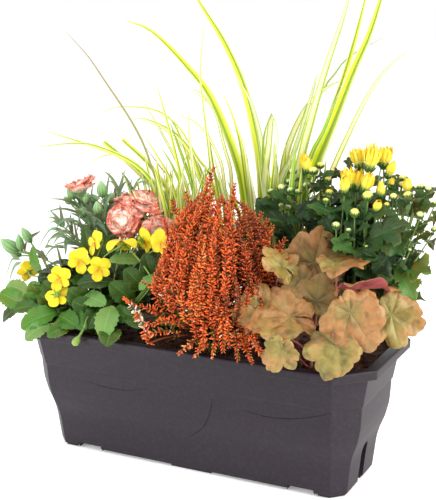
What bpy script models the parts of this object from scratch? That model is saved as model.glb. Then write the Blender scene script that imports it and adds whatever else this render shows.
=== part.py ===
"""Planted window box: a moulded plastic balcony box with soil and seven plants.

Metres, +Z up. The origin is the middle of the box's centre foot, on the ground. The box is
long in X, and its front faces -Y. Every plant stands on its own root ball in the soil.
"""

import math

import bmesh
import bpy
from mathutils import Matrix, Vector
from mathutils.bvhtree import BVHTree

# ---- driving dimensions of the box ------------------------------------------------------

BOX_LENGTH = 0.400
BOX_DEPTH = 0.166
BOX_HEIGHT = 0.140
CORNER_LEG = 0.0324
WALL = 0.0025
GAP = 0.0003

LIP_BOTTOM = 0.1305
LIP_EDGE = 0.1385
LIP_WEB = 0.1365
LIP_INNER = 0.0120
FLOOR_TOP = 0.0085
SOIL_TOP = 0.126

FOOT_RECESS = 0.006
SKIRT_RECESS = 0.003
CENTRE_FOOT_HALF = 0.023
SKIRT_END = 0.108
FOOT_START = 0.137

NOTCH_WIDTH = 0.0143
NOTCH_TOP = 0.044
NOTCH_DEPTH = 0.011
DRAIN_RADIUS = 0.004
DRAIN_X = (0.042, 0.092)
DRAIN_Y = 0.020

# Height above the ground, and how far the outside of the wall lies inside the lip there.
BODY_PROFILE = (
    (0.000, 0.0335),
    (0.030, 0.0300),
    (0.038, 0.0288),
    (0.044, 0.0270),
    (0.050, 0.0248),
    (0.057, 0.0222),
    (0.064, 0.0203),
    (0.074, 0.0182),
    (0.0975, 0.0165),
    (0.0985, 0.0155),
    (LIP_BOTTOM, 0.0095),
)

# ---- driving dimensions of the plants ---------------------------------------------------

ROOT_SIDES = 12
ROOT_BOTTOM = 0.066
ROOT_SHOULDER = 0.120
ROOT_BOTTOM_RADIUS = 0.019
ROOT_TOP_RADIUS = 0.025
CROWN_TOP = 0.1412
FOLIAGE_BASE = CROWN_TOP + GAP

# Root ball centres in X and Y, and the radius of the stems where they leave the soil.
CROWNS = {
    "viola": (-0.128, -0.029, 0.012),
    "dianthus": (-0.135, 0.031, 0.012),
    "fine_grass": (-0.058, 0.031, 0.014),
    "heather": (0.018, -0.029, 0.010),
    "broad_grass": (0.062, 0.036, 0.021),
    "chrysanthemum": (0.140, 0.031, 0.011),
    "heuchera": (0.122, -0.029, 0.018),
}

STEM_RADIUS = 0.0011
PETIOLE_RADIUS = 0.0012
SPIKE_BEND = 0.014
BLADE_BEND = 0.030

# Masses of small leaves and shoots, as balls that one skin is drawn over: x, y, z and radius in mm.
FOLIAGE = {
    "viola_foliage": (
        (-166, -45, 162, 19),
        (-190, -22, 168, 13),
        (-122, -50, 163, 21),
        (-86, -48, 165, 17),
        (-108, -24, 204, 24),
        (-150, -20, 186, 20),
        (-86, -28, 205, 20),
    ),
    "dianthus_foliage": (
        (-186, 32, 190, 21),
        (-150, 44, 206, 31),
        (-116, 41, 202, 26),
        (-166, 34, 166, 20),
        (-122, 38, 170, 22),
        (-168, 36, 225, 13),
    ),
    "fine_grass_tuft": (
        (-58, 34, 154, 12),
        (-68, 42, 222, 15),
        (-40, 44, 232, 15),
        (-28, 42, 246, 9),
    ),
    "heather_bush": (
        (-28, -45, 172, 17),
        (15, -50, 165, 22),
        (60, -45, 165, 18),
        (80, -28, 200, 13),
        (-12, -38, 215, 19),
        (25, -42, 225, 23),
        (60, -36, 215, 20),
        (12, -30, 258, 15),
        (36, -28, 262, 14),
    ),
    "chrysanthemum_foliage": (
        (72, 12, 214, 13),
        (70, 12, 268, 12),
        (95, 13, 280, 13),
        (118, 22, 230, 24),
        (120, 18, 274, 15),
        (172, 44, 215, 32),
        (166, 40, 266, 25),
        (204, 36, 225, 24),
        (205, 36, 264, 15),
        (142, 30, 172, 24),
        (190, 42, 188, 20),
    ),
}

# Blossoms: middle of the face and the way it looks, in mm. All of one kind have one size.
VIOLA_FLOWERS = (
    ((-222, -10, 182), (-0.9, -0.5, 0.1)),
    ((-144, -76, 191), (0.1, -1.0, 0.2)),
    ((-127, -62, 209), (0.2, -1.0, 0.3)),
    ((-97, -64, 206), (0.4, -1.0, 0.2)),
    ((-147, -84, 168), (-0.6, -0.8, -0.2)),
    ((-117, -36, 238), (-0.8, -0.3, 0.6)),
    ((-83, -38, 236), (0.4, -0.5, 0.8)),
    ((-52, -24, 231), (0.9, -0.5, 0.2)),
)
DIANTHUS_FLOWERS = (
    ((-174, 34, 268), (-0.7, -0.3, 0.6)),
    ((-100, -4, 243), (0.2, -0.9, 0.4)),
    ((-86, 15, 264), (0.5, -0.2, 0.9)),
    ((-64, 4, 224), (0.8, -0.6, -0.1)),
)
DIANTHUS_BUDS = (
    ((-262, 22, 202), (-0.6, 0.0, 0.8)),
    ((-142, 22, 274), (0.0, -0.2, 1.0)),
)
CHRYSANTHEMUM_FLOWERS = (
    ((100, 16, 312), (-0.1, -0.1, 1.0)),
    ((144, 10, 308), (-0.1, -0.3, 1.0)),
    ((164, 38, 320), (0.1, 0.0, 1.0)),
    ((214, 30, 296), (0.3, 0.0, 1.0)),
    ((160, -16, 276), (0.1, -0.8, 0.6)),
)
# Heather spikes: a point just off the bush that each one starts from, and its tip, in mm.
HEATHER_SPIKES = (
    ((16, -26, 277), (20, -20, 314)),
    ((44, -23, 279), (48, -18, 303)),
    ((74, -27, 214), (78, -22, 256)),
    ((-48, -54, 178), (-62, -66, 202)),
)
# Grass blades: four points of the curve in mm, and the widest width.
FINE_GRASS_BLADES = (
    ((-76, 46, 232), (-96, 44, 300), (-150, 34, 326), (-210, 18, 322), 4.0),
    ((-64, 48, 234), (-84, 52, 300), (-128, 58, 352), (-206, 60, 434), 2.6),
    ((-56, 36, 236), (-60, 38, 300), (-72, 44, 345), (-88, 48, 384), 4.0),
    ((-38, 36, 243), (-36, 36, 300), (-40, 38, 330), (-44, 40, 362), 4.0),
)
BROAD_GRASS_BLADES = (
    ((46, 36, 0), (40, 46, 270), (-20, 54, 380), (-132, 58, 450), 10.0),
    ((54, 43, 0), (58, 50, 270), (10, 58, 400), (-54, 62, 490), 10.0),
    ((61, 35, 0), (62, 42, 230), (44, 50, 310), (8, 54, 388), 8.0),
    ((47, 27, 0), (44, 38, 220), (24, 42, 320), (-4, 44, 378), 6.0),
    ((63, 51, 0), (62, 60, 300), (88, 62, 398), (138, 62, 392), 8.0),
    ((70, 43, 0), (74, 54, 240), (92, 60, 400), (136, 66, 500), 9.0),
    ((78, 35, 0), (84, 50, 230), (118, 56, 380), (170, 62, 514), 13.0),
    ((77, 48, 0), (86, 60, 240), (130, 62, 360), (190, 58, 424), 6.0),
)
# Coral bells leaves: middle, the way the face looks, the way the tip points, and the radius.
HEUCHERA_LEAVES = (
    ((118, -13, 238), (0.35, -0.9, 0.25), (-0.1, 0.2, 1.0), 30),
    ((92, -44, 238), (-0.3, -0.7, 0.6), (-1.0, 0.0, 0.5), 19),
    ((166, -26, 234), (0.1, -0.3, 1.0), (1.0, 0.0, 0.0), 21),
    ((190, -17, 213), (0.1, -0.15, 1.0), (1.0, 0.1, 0.0), 20),
    ((130, -34, 208), (0.2, -0.8, 0.6), (0.0, 0.3, 1.0), 17),
    ((68, -86, 187), (0.0, -0.9, 0.4), (-1.0, -0.2, 0.0), 21),
    ((114, -67, 194), (0.25, -0.7, 0.65), (-1.0, -0.4, 0.0), 33),
    ((178, -58, 196), (0.4, -0.85, 0.3), (0.4, 0.0, -1.0), 36),
    ((214, -4, 180), (0.6, -0.7, 0.4), (0.6, 0.4, -0.3), 28),
    ((112, -91, 153), (0.2, -0.95, 0.2), (-0.1, 0.0, -1.0), 18),
    ((174, -87, 157), (0.3, -0.85, 0.4), (0.2, -0.2, -1.0), 25),
)


# ---- small tools ------------------------------------------------------------------------


def clear_scene():
    for item in list(bpy.data.objects):
        bpy.data.objects.remove(item, do_unlink=True)


def mm(values):
    """A point given in millimetres, in metres."""
    return Vector(values) / 1000


def material(name, colour, roughness):
    made = bpy.data.materials.new(name)
    made.use_nodes = True
    made.diffuse_color = (*colour, 1.0)
    shader = made.node_tree.nodes["Principled BSDF"]
    shader.inputs["Base Color"].default_value = (*colour, 1.0)
    shader.inputs["Roughness"].default_value = roughness
    shader.inputs["Metallic"].default_value = 0.0
    return made


def add_object(name, bm, surface=None, smooth=True):
    bmesh.ops.recalc_face_normals(bm, faces=bm.faces)
    mesh = bpy.data.meshes.new(name)
    bm.to_mesh(mesh)
    bm.free()
    for face in mesh.polygons:
        face.use_smooth = smooth
    made = bpy.data.objects.new(name, mesh)
    bpy.context.scene.collection.objects.link(made)
    if surface:
        mesh.materials.append(surface)
    return made


def loft(name, rings, surface=None, smooth=True):
    """A closed skin through rings of the same number of points. Each end is closed by a fan."""
    bm = bmesh.new()
    levels = [[bm.verts.new(point) for point in ring] for ring in rings]
    count = len(rings[0])
    for low, high in zip(levels, levels[1:]):
        for i in range(count):
            j = (i + 1) % count
            bm.faces.new((low[i], low[j], high[j], high[i]))
    for end in (levels[0], levels[-1]):
        middle = bm.verts.new(sum((v.co for v in end), Vector()) / count)
        for i in range(count):
            bm.faces.new((middle, end[i], end[(i + 1) % count]))
    return add_object(name, bm, surface, smooth)


def frame_on(direction, hint):
    """Two unit vectors across a direction, the first as close to hint as it can be."""
    along = Vector(direction).normalized()
    first = Vector(hint) - along * along.dot(Vector(hint))
    first.normalize()
    return first, along.cross(first)


def ring_round(centre, first, second, radius, sides):
    """A circle, or with a function of the angle for its radius, an outline."""
    points = []
    for i in range(sides):
        angle = 2 * math.pi * i / sides
        reach = radius(angle) if callable(radius) else radius
        points.append(centre + reach * (math.cos(angle) * first + math.sin(angle) * second))
    return points


def bezier(controls, t):
    points = list(controls)
    while len(points) > 1:
        points = [a.lerp(b, t) for a, b in zip(points, points[1:])]
    return points[0]


def bezier_direction(controls, t):
    step = 0.01
    start = max(0.0, t - step)
    end = min(1.0, t + step)
    return (bezier(controls, end) - bezier(controls, start)).normalized()


def subtract(target, cutter):
    """Cuts the target with a guide object, which stays hidden."""
    cutter.hide_render = True
    cutter.display_type = "WIRE"
    step = target.modifiers.new(cutter.name, "BOOLEAN")
    step.operation = "DIFFERENCE"
    step.solver = "EXACT"
    step.object = cutter


# ---- the box ----------------------------------------------------------------------------


def octagon(inset, z):
    """The box's plan at a height: a rectangle with its corners cut at 45 degrees."""
    half_x = BOX_LENGTH / 2 - inset
    half_y = BOX_DEPTH / 2 - inset
    leg = CORNER_LEG - inset * (2 - math.sqrt(2))
    return [
        Vector((half_x - leg, -half_y, z)),
        Vector((half_x, -half_y + leg, z)),
        Vector((half_x, half_y - leg, z)),
        Vector((half_x - leg, half_y, z)),
        Vector((-half_x + leg, half_y, z)),
        Vector((-half_x, half_y - leg, z)),
        Vector((-half_x, -half_y + leg, z)),
        Vector((-half_x + leg, -half_y, z)),
    ]


def inset_at(z):
    """How far the outside of the wall lies inside the lip at a height."""
    for (z0, s0), (z1, s1) in zip(BODY_PROFILE, BODY_PROFILE[1:]):
        if z <= z1:
            return s0 + (s1 - s0) * (z - z0) / (z1 - z0)
    return BODY_PROFILE[-1][1]


def block(name, low, high):
    bm = bmesh.new()
    bmesh.ops.create_cube(bm, size=1.0)
    low, high = Vector(low), Vector(high)
    size = high - low
    bmesh.ops.transform(
        bm,
        matrix=Matrix.Translation((low + high) / 2) @ Matrix.Diagonal((*size, 1.0)),
        verts=bm.verts,
    )
    return add_object(name, bm)


def arch(name, x_from, x_to, width, top, bottom):
    """A prism along X with a round top, for the drain channel in each end wall."""
    outline = [(-width / 2, bottom), (width / 2, bottom)]
    for i in range(9):
        angle = math.pi * i / 8
        outline.append((width / 2 * math.cos(angle), top - width / 2 + width / 2 * math.sin(angle)))
    return loft(name, [[Vector((x, y, z)) for y, z in outline] for x in (x_from, x_to)])


def inner_rings(clearance, top):
    """The inside of the box from its floor to a height, smaller by a clearance."""
    levels = [FLOOR_TOP + clearance]
    levels += [z for z, _ in BODY_PROFILE if FLOOR_TOP + 0.005 < z < min(top, LIP_BOTTOM)]
    rings = [octagon(inset_at(z) + WALL + clearance, z) for z in levels]
    if top > LIP_BOTTOM:
        rings.append(octagon(LIP_INNER + clearance, LIP_BOTTOM))
        rings.append(octagon(LIP_INNER + clearance, top))
    else:
        rings.append(octagon(inset_at(top) + WALL + clearance, top))
    return rings


def notch_housings(prefix, wall):
    """The wall round each end channel, as seen from inside: one arched prism for each end."""
    reach = BOX_LENGTH / 2 - BODY_PROFILE[0][1] - NOTCH_DEPTH - wall
    made = []
    for side, word in ((-1, "left"), (1, "right")):
        name = f"{prefix}_{word}"
        width = NOTCH_WIDTH + 2 * wall
        made.append(arch(name, side * reach, side * BOX_LENGTH / 2, width, NOTCH_TOP + wall, -0.01))
    return made


def planter_box(surface):
    outside = [octagon(inset, z) for z, inset in BODY_PROFILE[:-1]]
    outside += [
        octagon(BODY_PROFILE[-1][1], LIP_WEB),
        octagon(WALL, LIP_WEB),
        octagon(WALL, LIP_BOTTOM),
        octagon(0.0, LIP_BOTTOM),
        octagon(0.0, LIP_EDGE),
        octagon(0.0006, BOX_HEIGHT - 0.0004),
        octagon(0.0022, BOX_HEIGHT),
        octagon(LIP_INNER + 0.002, BOX_HEIGHT - 0.0010),
    ]
    box = loft("planter_box", outside, surface, smooth=False)

    cavity = loft("cavity_guide", inner_rings(0.0, BOX_HEIGHT + 0.01))
    for housing in notch_housings("housing_guide", WALL):
        subtract(cavity, housing)
    subtract(box, cavity)
    for side, word in ((-1, "left"), (1, "right")):
        deep = BOX_LENGTH / 2 - BODY_PROFILE[0][1] - NOTCH_DEPTH
        name = f"notch_guide_{word}"
        notch = arch(name, side * deep, side * BOX_LENGTH / 2, NOTCH_WIDTH, NOTCH_TOP, -0.01)
        subtract(box, notch)
        near, far = sorted((side * CENTRE_FOOT_HALF, side * SKIRT_END))
        skirt = block(f"skirt_guide_{word}", (near, -0.1, -0.01), (far, 0.1, SKIRT_RECESS))
        subtract(box, skirt)
        near, far = sorted((side * SKIRT_END, side * FOOT_START))
        recess = block(f"recess_guide_{word}", (near, -0.1, -0.01), (far, 0.1, FOOT_RECESS))
        subtract(box, recess)
        for x in DRAIN_X:
            for y in (-DRAIN_Y, DRAIN_Y):
                middle = Vector((side * x, y, 0.0))
                rings = [
                    ring_round(middle + Vector((0, 0, z)), Vector((1, 0, 0)), Vector((0, 1, 0)),
                               DRAIN_RADIUS, ROOT_SIDES)
                    for z in (-0.01, FLOOR_TOP + 0.01)
                ]
                label = f"drain_guide_{word}_{round(x * 1000)}_{'front' if y < 0 else 'back'}"
                subtract(box, loft(label, rings))
    return box


def root_rings(x, y, clearance):
    """The part of a root ball that is below the soil's surface, larger by a clearance."""
    profile = (
        (ROOT_BOTTOM - clearance, ROOT_BOTTOM_RADIUS),
        (ROOT_SHOULDER, ROOT_TOP_RADIUS),
        (SOIL_TOP, ROOT_TOP_RADIUS - 0.0015),
    )
    return [
        ring_round(Vector((x, y, z)), Vector((1, 0, 0)), Vector((0, 1, 0)),
                   radius + clearance, ROOT_SIDES)
        for z, radius in profile
    ]


def potting_soil(surface):
    soil = loft("potting_soil", inner_rings(GAP, SOIL_TOP), surface, smooth=False)
    for housing in notch_housings("soil_guide", WALL + GAP):
        subtract(soil, housing)
    for plant, (x, y, _) in CROWNS.items():
        rings = root_rings(x, y, GAP)
        rings.append([point + Vector((0, 0, 0.01)) for point in rings[-1]])
        subtract(soil, loft(f"pocket_guide_{plant}", rings))
    return soil


# ---- the plants -------------------------------------------------------------------------


def plant_crown(plant, x, y, stem_radius, surface):
    """Root ball in the soil, with the stems or leaf bases standing up out of it."""
    rings = root_rings(x, y, 0.0)
    for z, radius in ((SOIL_TOP + 0.0015, stem_radius * 1.15), (CROWN_TOP, stem_radius)):
        centre = Vector((x, y, z))
        rings.append(ring_round(centre, Vector((1, 0, 0)), Vector((0, 1, 0)), radius, ROOT_SIDES))
    return loft(f"{plant}_crown", rings, surface)


def foliage_mass(name, crown, balls, surface):
    """One skin drawn over balls and over the foot that stands on the plant's crown."""
    bm = bmesh.new()
    for x, y, z, radius in balls:
        place = Matrix.Translation(mm((x, y, z)))
        bmesh.ops.create_icosphere(bm, subdivisions=2, radius=radius / 1000, matrix=place)
    points = [Vector((v.co.x, v.co.y, max(v.co.z, FOLIAGE_BASE))) for v in bm.verts]
    x, y, radius = crown
    foot = Vector((x, y, FOLIAGE_BASE))
    points += ring_round(foot, Vector((1, 0, 0)), Vector((0, 1, 0)), radius, ROOT_SIDES)
    bm.clear()
    for point in points:
        bm.verts.new(point)
    bmesh.ops.remove_doubles(bm, verts=bm.verts, dist=0.0012)
    hull = bmesh.ops.convex_hull(bm, input=bm.verts)
    spare = {v for v in hull["geom_interior"] + hull["geom_unused"] if isinstance(v, bmesh.types.BMVert)}
    bmesh.ops.delete(bm, geom=list(spare), context="VERTS")
    return add_object(name, bm, surface)


def surface_of(item):
    bm = bmesh.new()
    bm.from_mesh(item.data)
    tree = BVHTree.FromBMesh(bm)
    bm.free()
    return tree


def seat_on(tree, start):
    """Where a stem from start stands on a rounded mass, held off by the gap, and the way up there."""
    point, up, _, _ = tree.find_nearest(start)
    return point + up * GAP, up


def stem_rings(controls, foot_up, hint, radius, sides, steps):
    """Rings down a stem, from its second step to its foot, where the ring lies flat."""
    rings = []
    first = Vector(hint)
    for i in range(1, steps + 1):
        t = i / steps
        along = -foot_up if i == steps else bezier_direction(controls, t)
        first, second = frame_on(along, first)
        rings.append(ring_round(bezier(controls, t), first, second, radius, sides))
    return rings


def stem_curve(back, look, seat, up):
    """A stem leaves the back of its head, bends, and comes down square onto its seat."""
    reach = (seat - back).length
    return (back, back - look * reach * 0.3, seat + up * reach * 0.3, seat)


def blossom(name, centre, facing, radius, lobes, depth, carrier, surface):
    """A flower head with its stem, which stands on a plant's foliage."""
    look = Vector(facing).normalized()
    hint = Vector((0, 0, 1)) if abs(look.z) < 0.9 else Vector((0, -1, 0))
    first, second = frame_on(-look, hint)
    sides = lobes * 2

    def petals(angle):
        return radius * (0.88 + 0.12 * math.cos(lobes * angle))

    back = centre - look * depth
    rings = [
        ring_round(centre - look * depth * 0.15, first, second, lambda a: petals(a) * 0.5, sides),
        ring_round(centre, first, second, petals, sides),
        ring_round(centre - look * 0.0015, first, second, petals, sides),
        ring_round(back + look * depth * 0.35, first, second, radius * 0.45, sides),
        ring_round(back, first, second, STEM_RADIUS * 1.3, sides),
    ]
    seat, up = seat_on(carrier, back)
    rings += stem_rings(stem_curve(back, look, seat, up), up, first, STEM_RADIUS, sides, 3)
    return loft(name, rings, surface)


def bud(name, centre, facing, carrier, surface):
    """A plump closed bud with its stem."""
    look = Vector(facing).normalized()
    first, second = frame_on(-look, Vector((0, -1, 0)))
    profile = ((0.011, 0.0008), (0.006, 0.0048), (-0.002, 0.0062), (-0.009, 0.0035), (-0.012, STEM_RADIUS))
    rings = [ring_round(centre + look * h, first, second, r, 8) for h, r in profile]
    back = centre - look * 0.012
    seat, up = seat_on(carrier, back)
    rings += stem_rings(stem_curve(back, look, seat, up), up, first, STEM_RADIUS, 8, 4)
    return loft(name, rings, surface)


def grass_blade(name, controls, foot_up, width, surface):
    """A long leaf: wide low down, folded a little along its middle, with a fine tip."""
    steps = 14
    rings = []
    side = Vector((1, 0, 0))
    for i in range(steps + 1):
        t = i / steps
        along = bezier_direction(controls, t) if i else foot_up
        side, face = frame_on(along, side)
        share = (0.55 + 0.45 * math.sin(min(1.0, t * 2.2) * math.pi / 2)) * (1 - t ** 3) + 0.04
        half = width / 2 * share
        keel = 0.12 * half
        centre = bezier(controls, t)
        rings.append([
            centre - side * half,
            centre + face * (keel + 0.0005),
            centre + side * half,
            centre + face * (keel - 0.0005),
        ])
    return loft(name, rings, surface)


def heather_spike(name, start, tip, carrier, surface):
    """A flower spike that leaves the bush square to its surface and then bends upright."""
    seat, up = seat_on(carrier, start)
    controls = (seat, seat + up * SPIKE_BEND, tip)
    first = Vector((1, 0, 0))
    rings = []
    for t, radius in ((0.0, 0.0028), (0.35, 0.0055), (0.7, 0.0042), (1.0, 0.0012)):
        along = bezier_direction(controls, t) if t else up
        first, second = frame_on(along, first)
        rings.append(ring_round(bezier(controls, t), first, second, radius, 8))
    return loft(name, rings, surface)


def heuchera_leaf(name, centre, facing, tip, radius, foot, surface):
    """A round lobed leaf, cupped, with its stalk down to the plant's crown."""
    look = Vector(facing).normalized()
    forward, across = frame_on(-look, tip)
    sides = 14
    hub = centre - forward * radius * 0.35

    def outline(angle):
        reach = radius * (1.0 + 0.35 * math.cos(angle))
        return reach * (0.95 + 0.05 * math.cos(7 * angle))

    stalk = (foot - hub).length
    controls = (
        hub - look * 0.0012,
        hub - look * stalk * 0.18 - forward * stalk * 0.12,
        foot + Vector((0, 0, stalk * 0.45)),
        foot,
    )
    rings = [
        ring_round(hub + look * 0.0004, forward, across, lambda a: outline(a) * 0.5, sides),
        ring_round(hub - look * radius * 0.02, forward, across, outline, sides),
        ring_round(hub - look * (radius * 0.02 + 0.0008), forward, across, outline, sides),
        ring_round(hub - look * 0.0012, forward, across, PETIOLE_RADIUS * 1.6, sides),
    ]
    rings += stem_rings(controls, Vector((0, 0, 1)), forward, PETIOLE_RADIUS, sides, 5)
    return loft(name, rings, surface)


def leaf_feet(leaves):
    """Where each coral bells stalk leaves the crown: evenly spaced, in the order of the leaves round it."""
    x, y, radius = CROWNS["heuchera"]

    def turn_from_front(leaf):
        centre = mm(leaf[0])
        return math.atan2(centre.x - x, y - centre.y)

    order = sorted(leaves, key=turn_from_front)
    feet = []
    for leaf in leaves:
        turn = 2 * math.pi * (order.index(leaf) - (len(leaves) - 1) / 2) / len(leaves)
        reach = radius * 0.78
        feet.append(Vector((x + reach * math.sin(turn), y - reach * math.cos(turn), FOLIAGE_BASE)))
    return feet


# ---- assembly ---------------------------------------------------------------------------


def build():
    clear_scene()
    plastic = material("box_plastic", (0.085, 0.075, 0.085), 0.45)
    soil = material("soil", (0.030, 0.018, 0.012), 0.95)
    roots = material("roots", (0.110, 0.070, 0.040), 0.90)
    leaf = material("leaf", (0.090, 0.230, 0.035), 0.50)
    blade = material("grass_blade", (0.480, 0.560, 0.060), 0.45)
    yellow = material("yellow_petal", (0.900, 0.720, 0.010), 0.55)
    coral = material("coral_petal", (0.850, 0.180, 0.140), 0.60)
    bud_green = material("bud_green", (0.260, 0.420, 0.180), 0.50)
    orange = material("heather_flower", (0.740, 0.130, 0.015), 0.70)
    amber = material("heuchera_leaf", (0.560, 0.270, 0.090), 0.50)

    planter_box(plastic)
    potting_soil(soil)
    for plant, (x, y, radius) in CROWNS.items():
        plant_crown(plant, x, y, radius, roots)

    skins = {"fine_grass_tuft": blade, "heather_bush": orange}
    carriers = {}
    for name, balls in FOLIAGE.items():
        crown = CROWNS[name.rsplit("_", 1)[0]]
        carriers[name] = surface_of(foliage_mass(name, crown, balls, skins.get(name, leaf)))

    for number, (centre, facing) in enumerate(VIOLA_FLOWERS, 1):
        blossom(f"viola_flower_{number}", mm(centre), facing, 0.0132, 5, 0.007,
                carriers["viola_foliage"], yellow)
    for number, (centre, facing) in enumerate(DIANTHUS_FLOWERS, 1):
        blossom(f"dianthus_flower_{number}", mm(centre), facing, 0.0205, 6, 0.016,
                carriers["dianthus_foliage"], coral)
    for number, (centre, facing) in enumerate(DIANTHUS_BUDS, 1):
        bud(f"dianthus_bud_{number}", mm(centre), facing, carriers["dianthus_foliage"], bud_green)
    for number, (centre, facing) in enumerate(CHRYSANTHEMUM_FLOWERS, 1):
        blossom(f"chrysanthemum_flower_{number}", mm(centre), facing, 0.0095, 6, 0.012,
                carriers["chrysanthemum_foliage"], yellow)
    for number, (base, tip) in enumerate(HEATHER_SPIKES, 1):
        heather_spike(f"heather_spike_{number}", mm(base), mm(tip), carriers["heather_bush"], orange)

    for number, (*controls, width) in enumerate(FINE_GRASS_BLADES, 1):
        points = [mm(point) for point in controls]
        points[0], up = seat_on(carriers["fine_grass_tuft"], points[0])
        points.insert(1, points[0] + up * BLADE_BEND)
        grass_blade(f"fine_grass_blade_{number}", points, up, width / 1000, blade)
    for number, (*controls, width) in enumerate(BROAD_GRASS_BLADES, 1):
        points = [mm(point) for point in controls]
        points[0].z = FOLIAGE_BASE
        grass_blade(f"broad_grass_blade_{number}", points, Vector((0, 0, 1)), width / 1000, blade)

    feet = leaf_feet(HEUCHERA_LEAVES)
    for number, (centre, facing, tip, radius) in enumerate(HEUCHERA_LEAVES, 1):
        foot = feet[number - 1]
        heuchera_leaf(f"heuchera_leaf_{number}", mm(centre), facing, tip, radius / 1000, foot, amber)


build()
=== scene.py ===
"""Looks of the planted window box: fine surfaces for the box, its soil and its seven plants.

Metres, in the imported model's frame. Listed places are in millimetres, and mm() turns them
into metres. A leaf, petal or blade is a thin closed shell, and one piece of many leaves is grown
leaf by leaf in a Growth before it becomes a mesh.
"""

import itertools
import math

import bpy
import numpy as np
from mathutils import Matrix, Vector


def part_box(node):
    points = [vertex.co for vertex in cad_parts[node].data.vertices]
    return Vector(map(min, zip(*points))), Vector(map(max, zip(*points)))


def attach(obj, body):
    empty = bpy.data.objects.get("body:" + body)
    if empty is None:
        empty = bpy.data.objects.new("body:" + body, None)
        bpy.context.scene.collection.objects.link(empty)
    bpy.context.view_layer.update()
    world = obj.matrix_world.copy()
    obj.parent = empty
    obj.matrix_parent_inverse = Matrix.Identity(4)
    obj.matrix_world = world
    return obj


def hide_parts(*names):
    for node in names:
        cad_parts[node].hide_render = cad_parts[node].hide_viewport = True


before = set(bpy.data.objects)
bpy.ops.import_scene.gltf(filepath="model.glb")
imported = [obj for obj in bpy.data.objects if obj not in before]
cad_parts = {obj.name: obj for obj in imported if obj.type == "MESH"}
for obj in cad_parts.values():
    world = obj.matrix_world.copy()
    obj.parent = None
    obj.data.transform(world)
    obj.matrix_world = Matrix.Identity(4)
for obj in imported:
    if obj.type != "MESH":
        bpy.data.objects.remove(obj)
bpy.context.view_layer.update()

BOX_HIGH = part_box("planter_box")[1]
SOIL_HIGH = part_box("potting_soil")[1]
LUMP_WAVES = 14

# ---- small tools ------------------------------------------------------------------------


def mm(values):
    return np.array(values, float) / 1000


def unit(vectors):
    vectors = np.asarray(vectors, float)
    return vectors / np.maximum(np.linalg.norm(vectors, axis=-1, keepdims=True), 1e-12)


def axes(along, face):
    """Across a leaf, along it and out of its face, as the rows of a matrix."""
    along = unit(along)
    face = np.asarray(face, float)
    out = unit(face - along * np.dot(face, along))
    return np.stack([np.cross(along, out), along, out])


def through(points, count):
    """Points spread evenly along a smooth curve through the given ones."""
    p = np.array(points, float)
    p = np.vstack([2 * p[0] - p[1], p, 2 * p[-1] - p[-2]])
    t = np.linspace(0, 1, 12, endpoint=False)[:, None]
    runs = [
        0.5 * (2 * b + (c - a) * t + (2 * a - 5 * b + 4 * c - d) * t**2
               + (3 * b - a - 3 * c + d) * t**3)
        for a, b, c, d in zip(p, p[1:], p[2:], p[3:])
    ]
    dense = np.vstack(runs + [p[-2:-1]])
    length = np.r_[0, np.cumsum(np.linalg.norm(np.diff(dense, axis=0), axis=1))]
    at = np.linspace(0, length[-1], count)
    return np.stack([np.interp(at, length, dense[:, k]) for k in range(dense.shape[1])], 1)


def bow(start, lead, end, count, share=0.5):
    """A stem that leaves start along lead and bends over to end."""
    start, end = np.array(start, float), np.array(end, float)
    reach = np.linalg.norm(end - start)
    middle = start + unit(lead) * reach * share
    t = np.linspace(0, 1, count)[:, None]
    return (1 - t) ** 2 * start + 2 * t * (1 - t) * middle + t**2 * end


def travel(path, hint):
    """Along, side and face directions at each point of a path, without twist."""
    along = unit(np.gradient(path, axis=0))
    side = np.empty_like(along)
    last = np.asarray(hint, float)
    for i, a in enumerate(along):
        last = unit(last - a * np.dot(last, a))
        side[i] = last
    return along, side, np.cross(side, along)


def grid_quads(ids):
    """The faces between the points of a grid, seen from its upper side."""
    corners = (ids[:-1, :-1], ids[:-1, 1:], ids[1:, 1:], ids[1:, :-1])
    return np.stack(corners, -1).reshape(-1, 4)


def grid_rim(ids):
    """The points round the edge of a grid, in order."""
    return np.r_[ids[0, :], ids[1:, -1], ids[-1, -2::-1], ids[-2:0:-1, 0]]


def lumps(points, size, seed):
    """Soft random heights from about -1 to 1, with bumps of about this size."""
    rng = np.random.default_rng(seed)
    turns = unit(rng.normal(size=(LUMP_WAVES, points.shape[-1]))) * (2 * math.pi / size)
    turns *= rng.uniform(0.6, 1.5, (LUMP_WAVES, 1))
    phase = rng.uniform(0, 2 * math.pi, LUMP_WAVES)
    return np.sin(points @ turns.T + phase).sum(-1) / math.sqrt(LUMP_WAVES) * 0.7


def turned(angle, first, second):
    """The direction at an angle from the first one towards the second."""
    return math.cos(angle) * first + math.sin(angle) * second


def outward(turn, rise):
    """The direction at a turn round the vertical and a rise above the level."""
    flat = math.cos(rise)
    return np.array([math.cos(turn) * flat, math.sin(turn) * flat, math.sin(rise)])


def foot_near(rng, crown, reach_x, reach_y, up=0.0):
    """Where a stem starts: somewhere on a crown."""
    return crown + [rng.uniform(-reach_x, reach_x), rng.uniform(-reach_y, reach_y), up]


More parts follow.
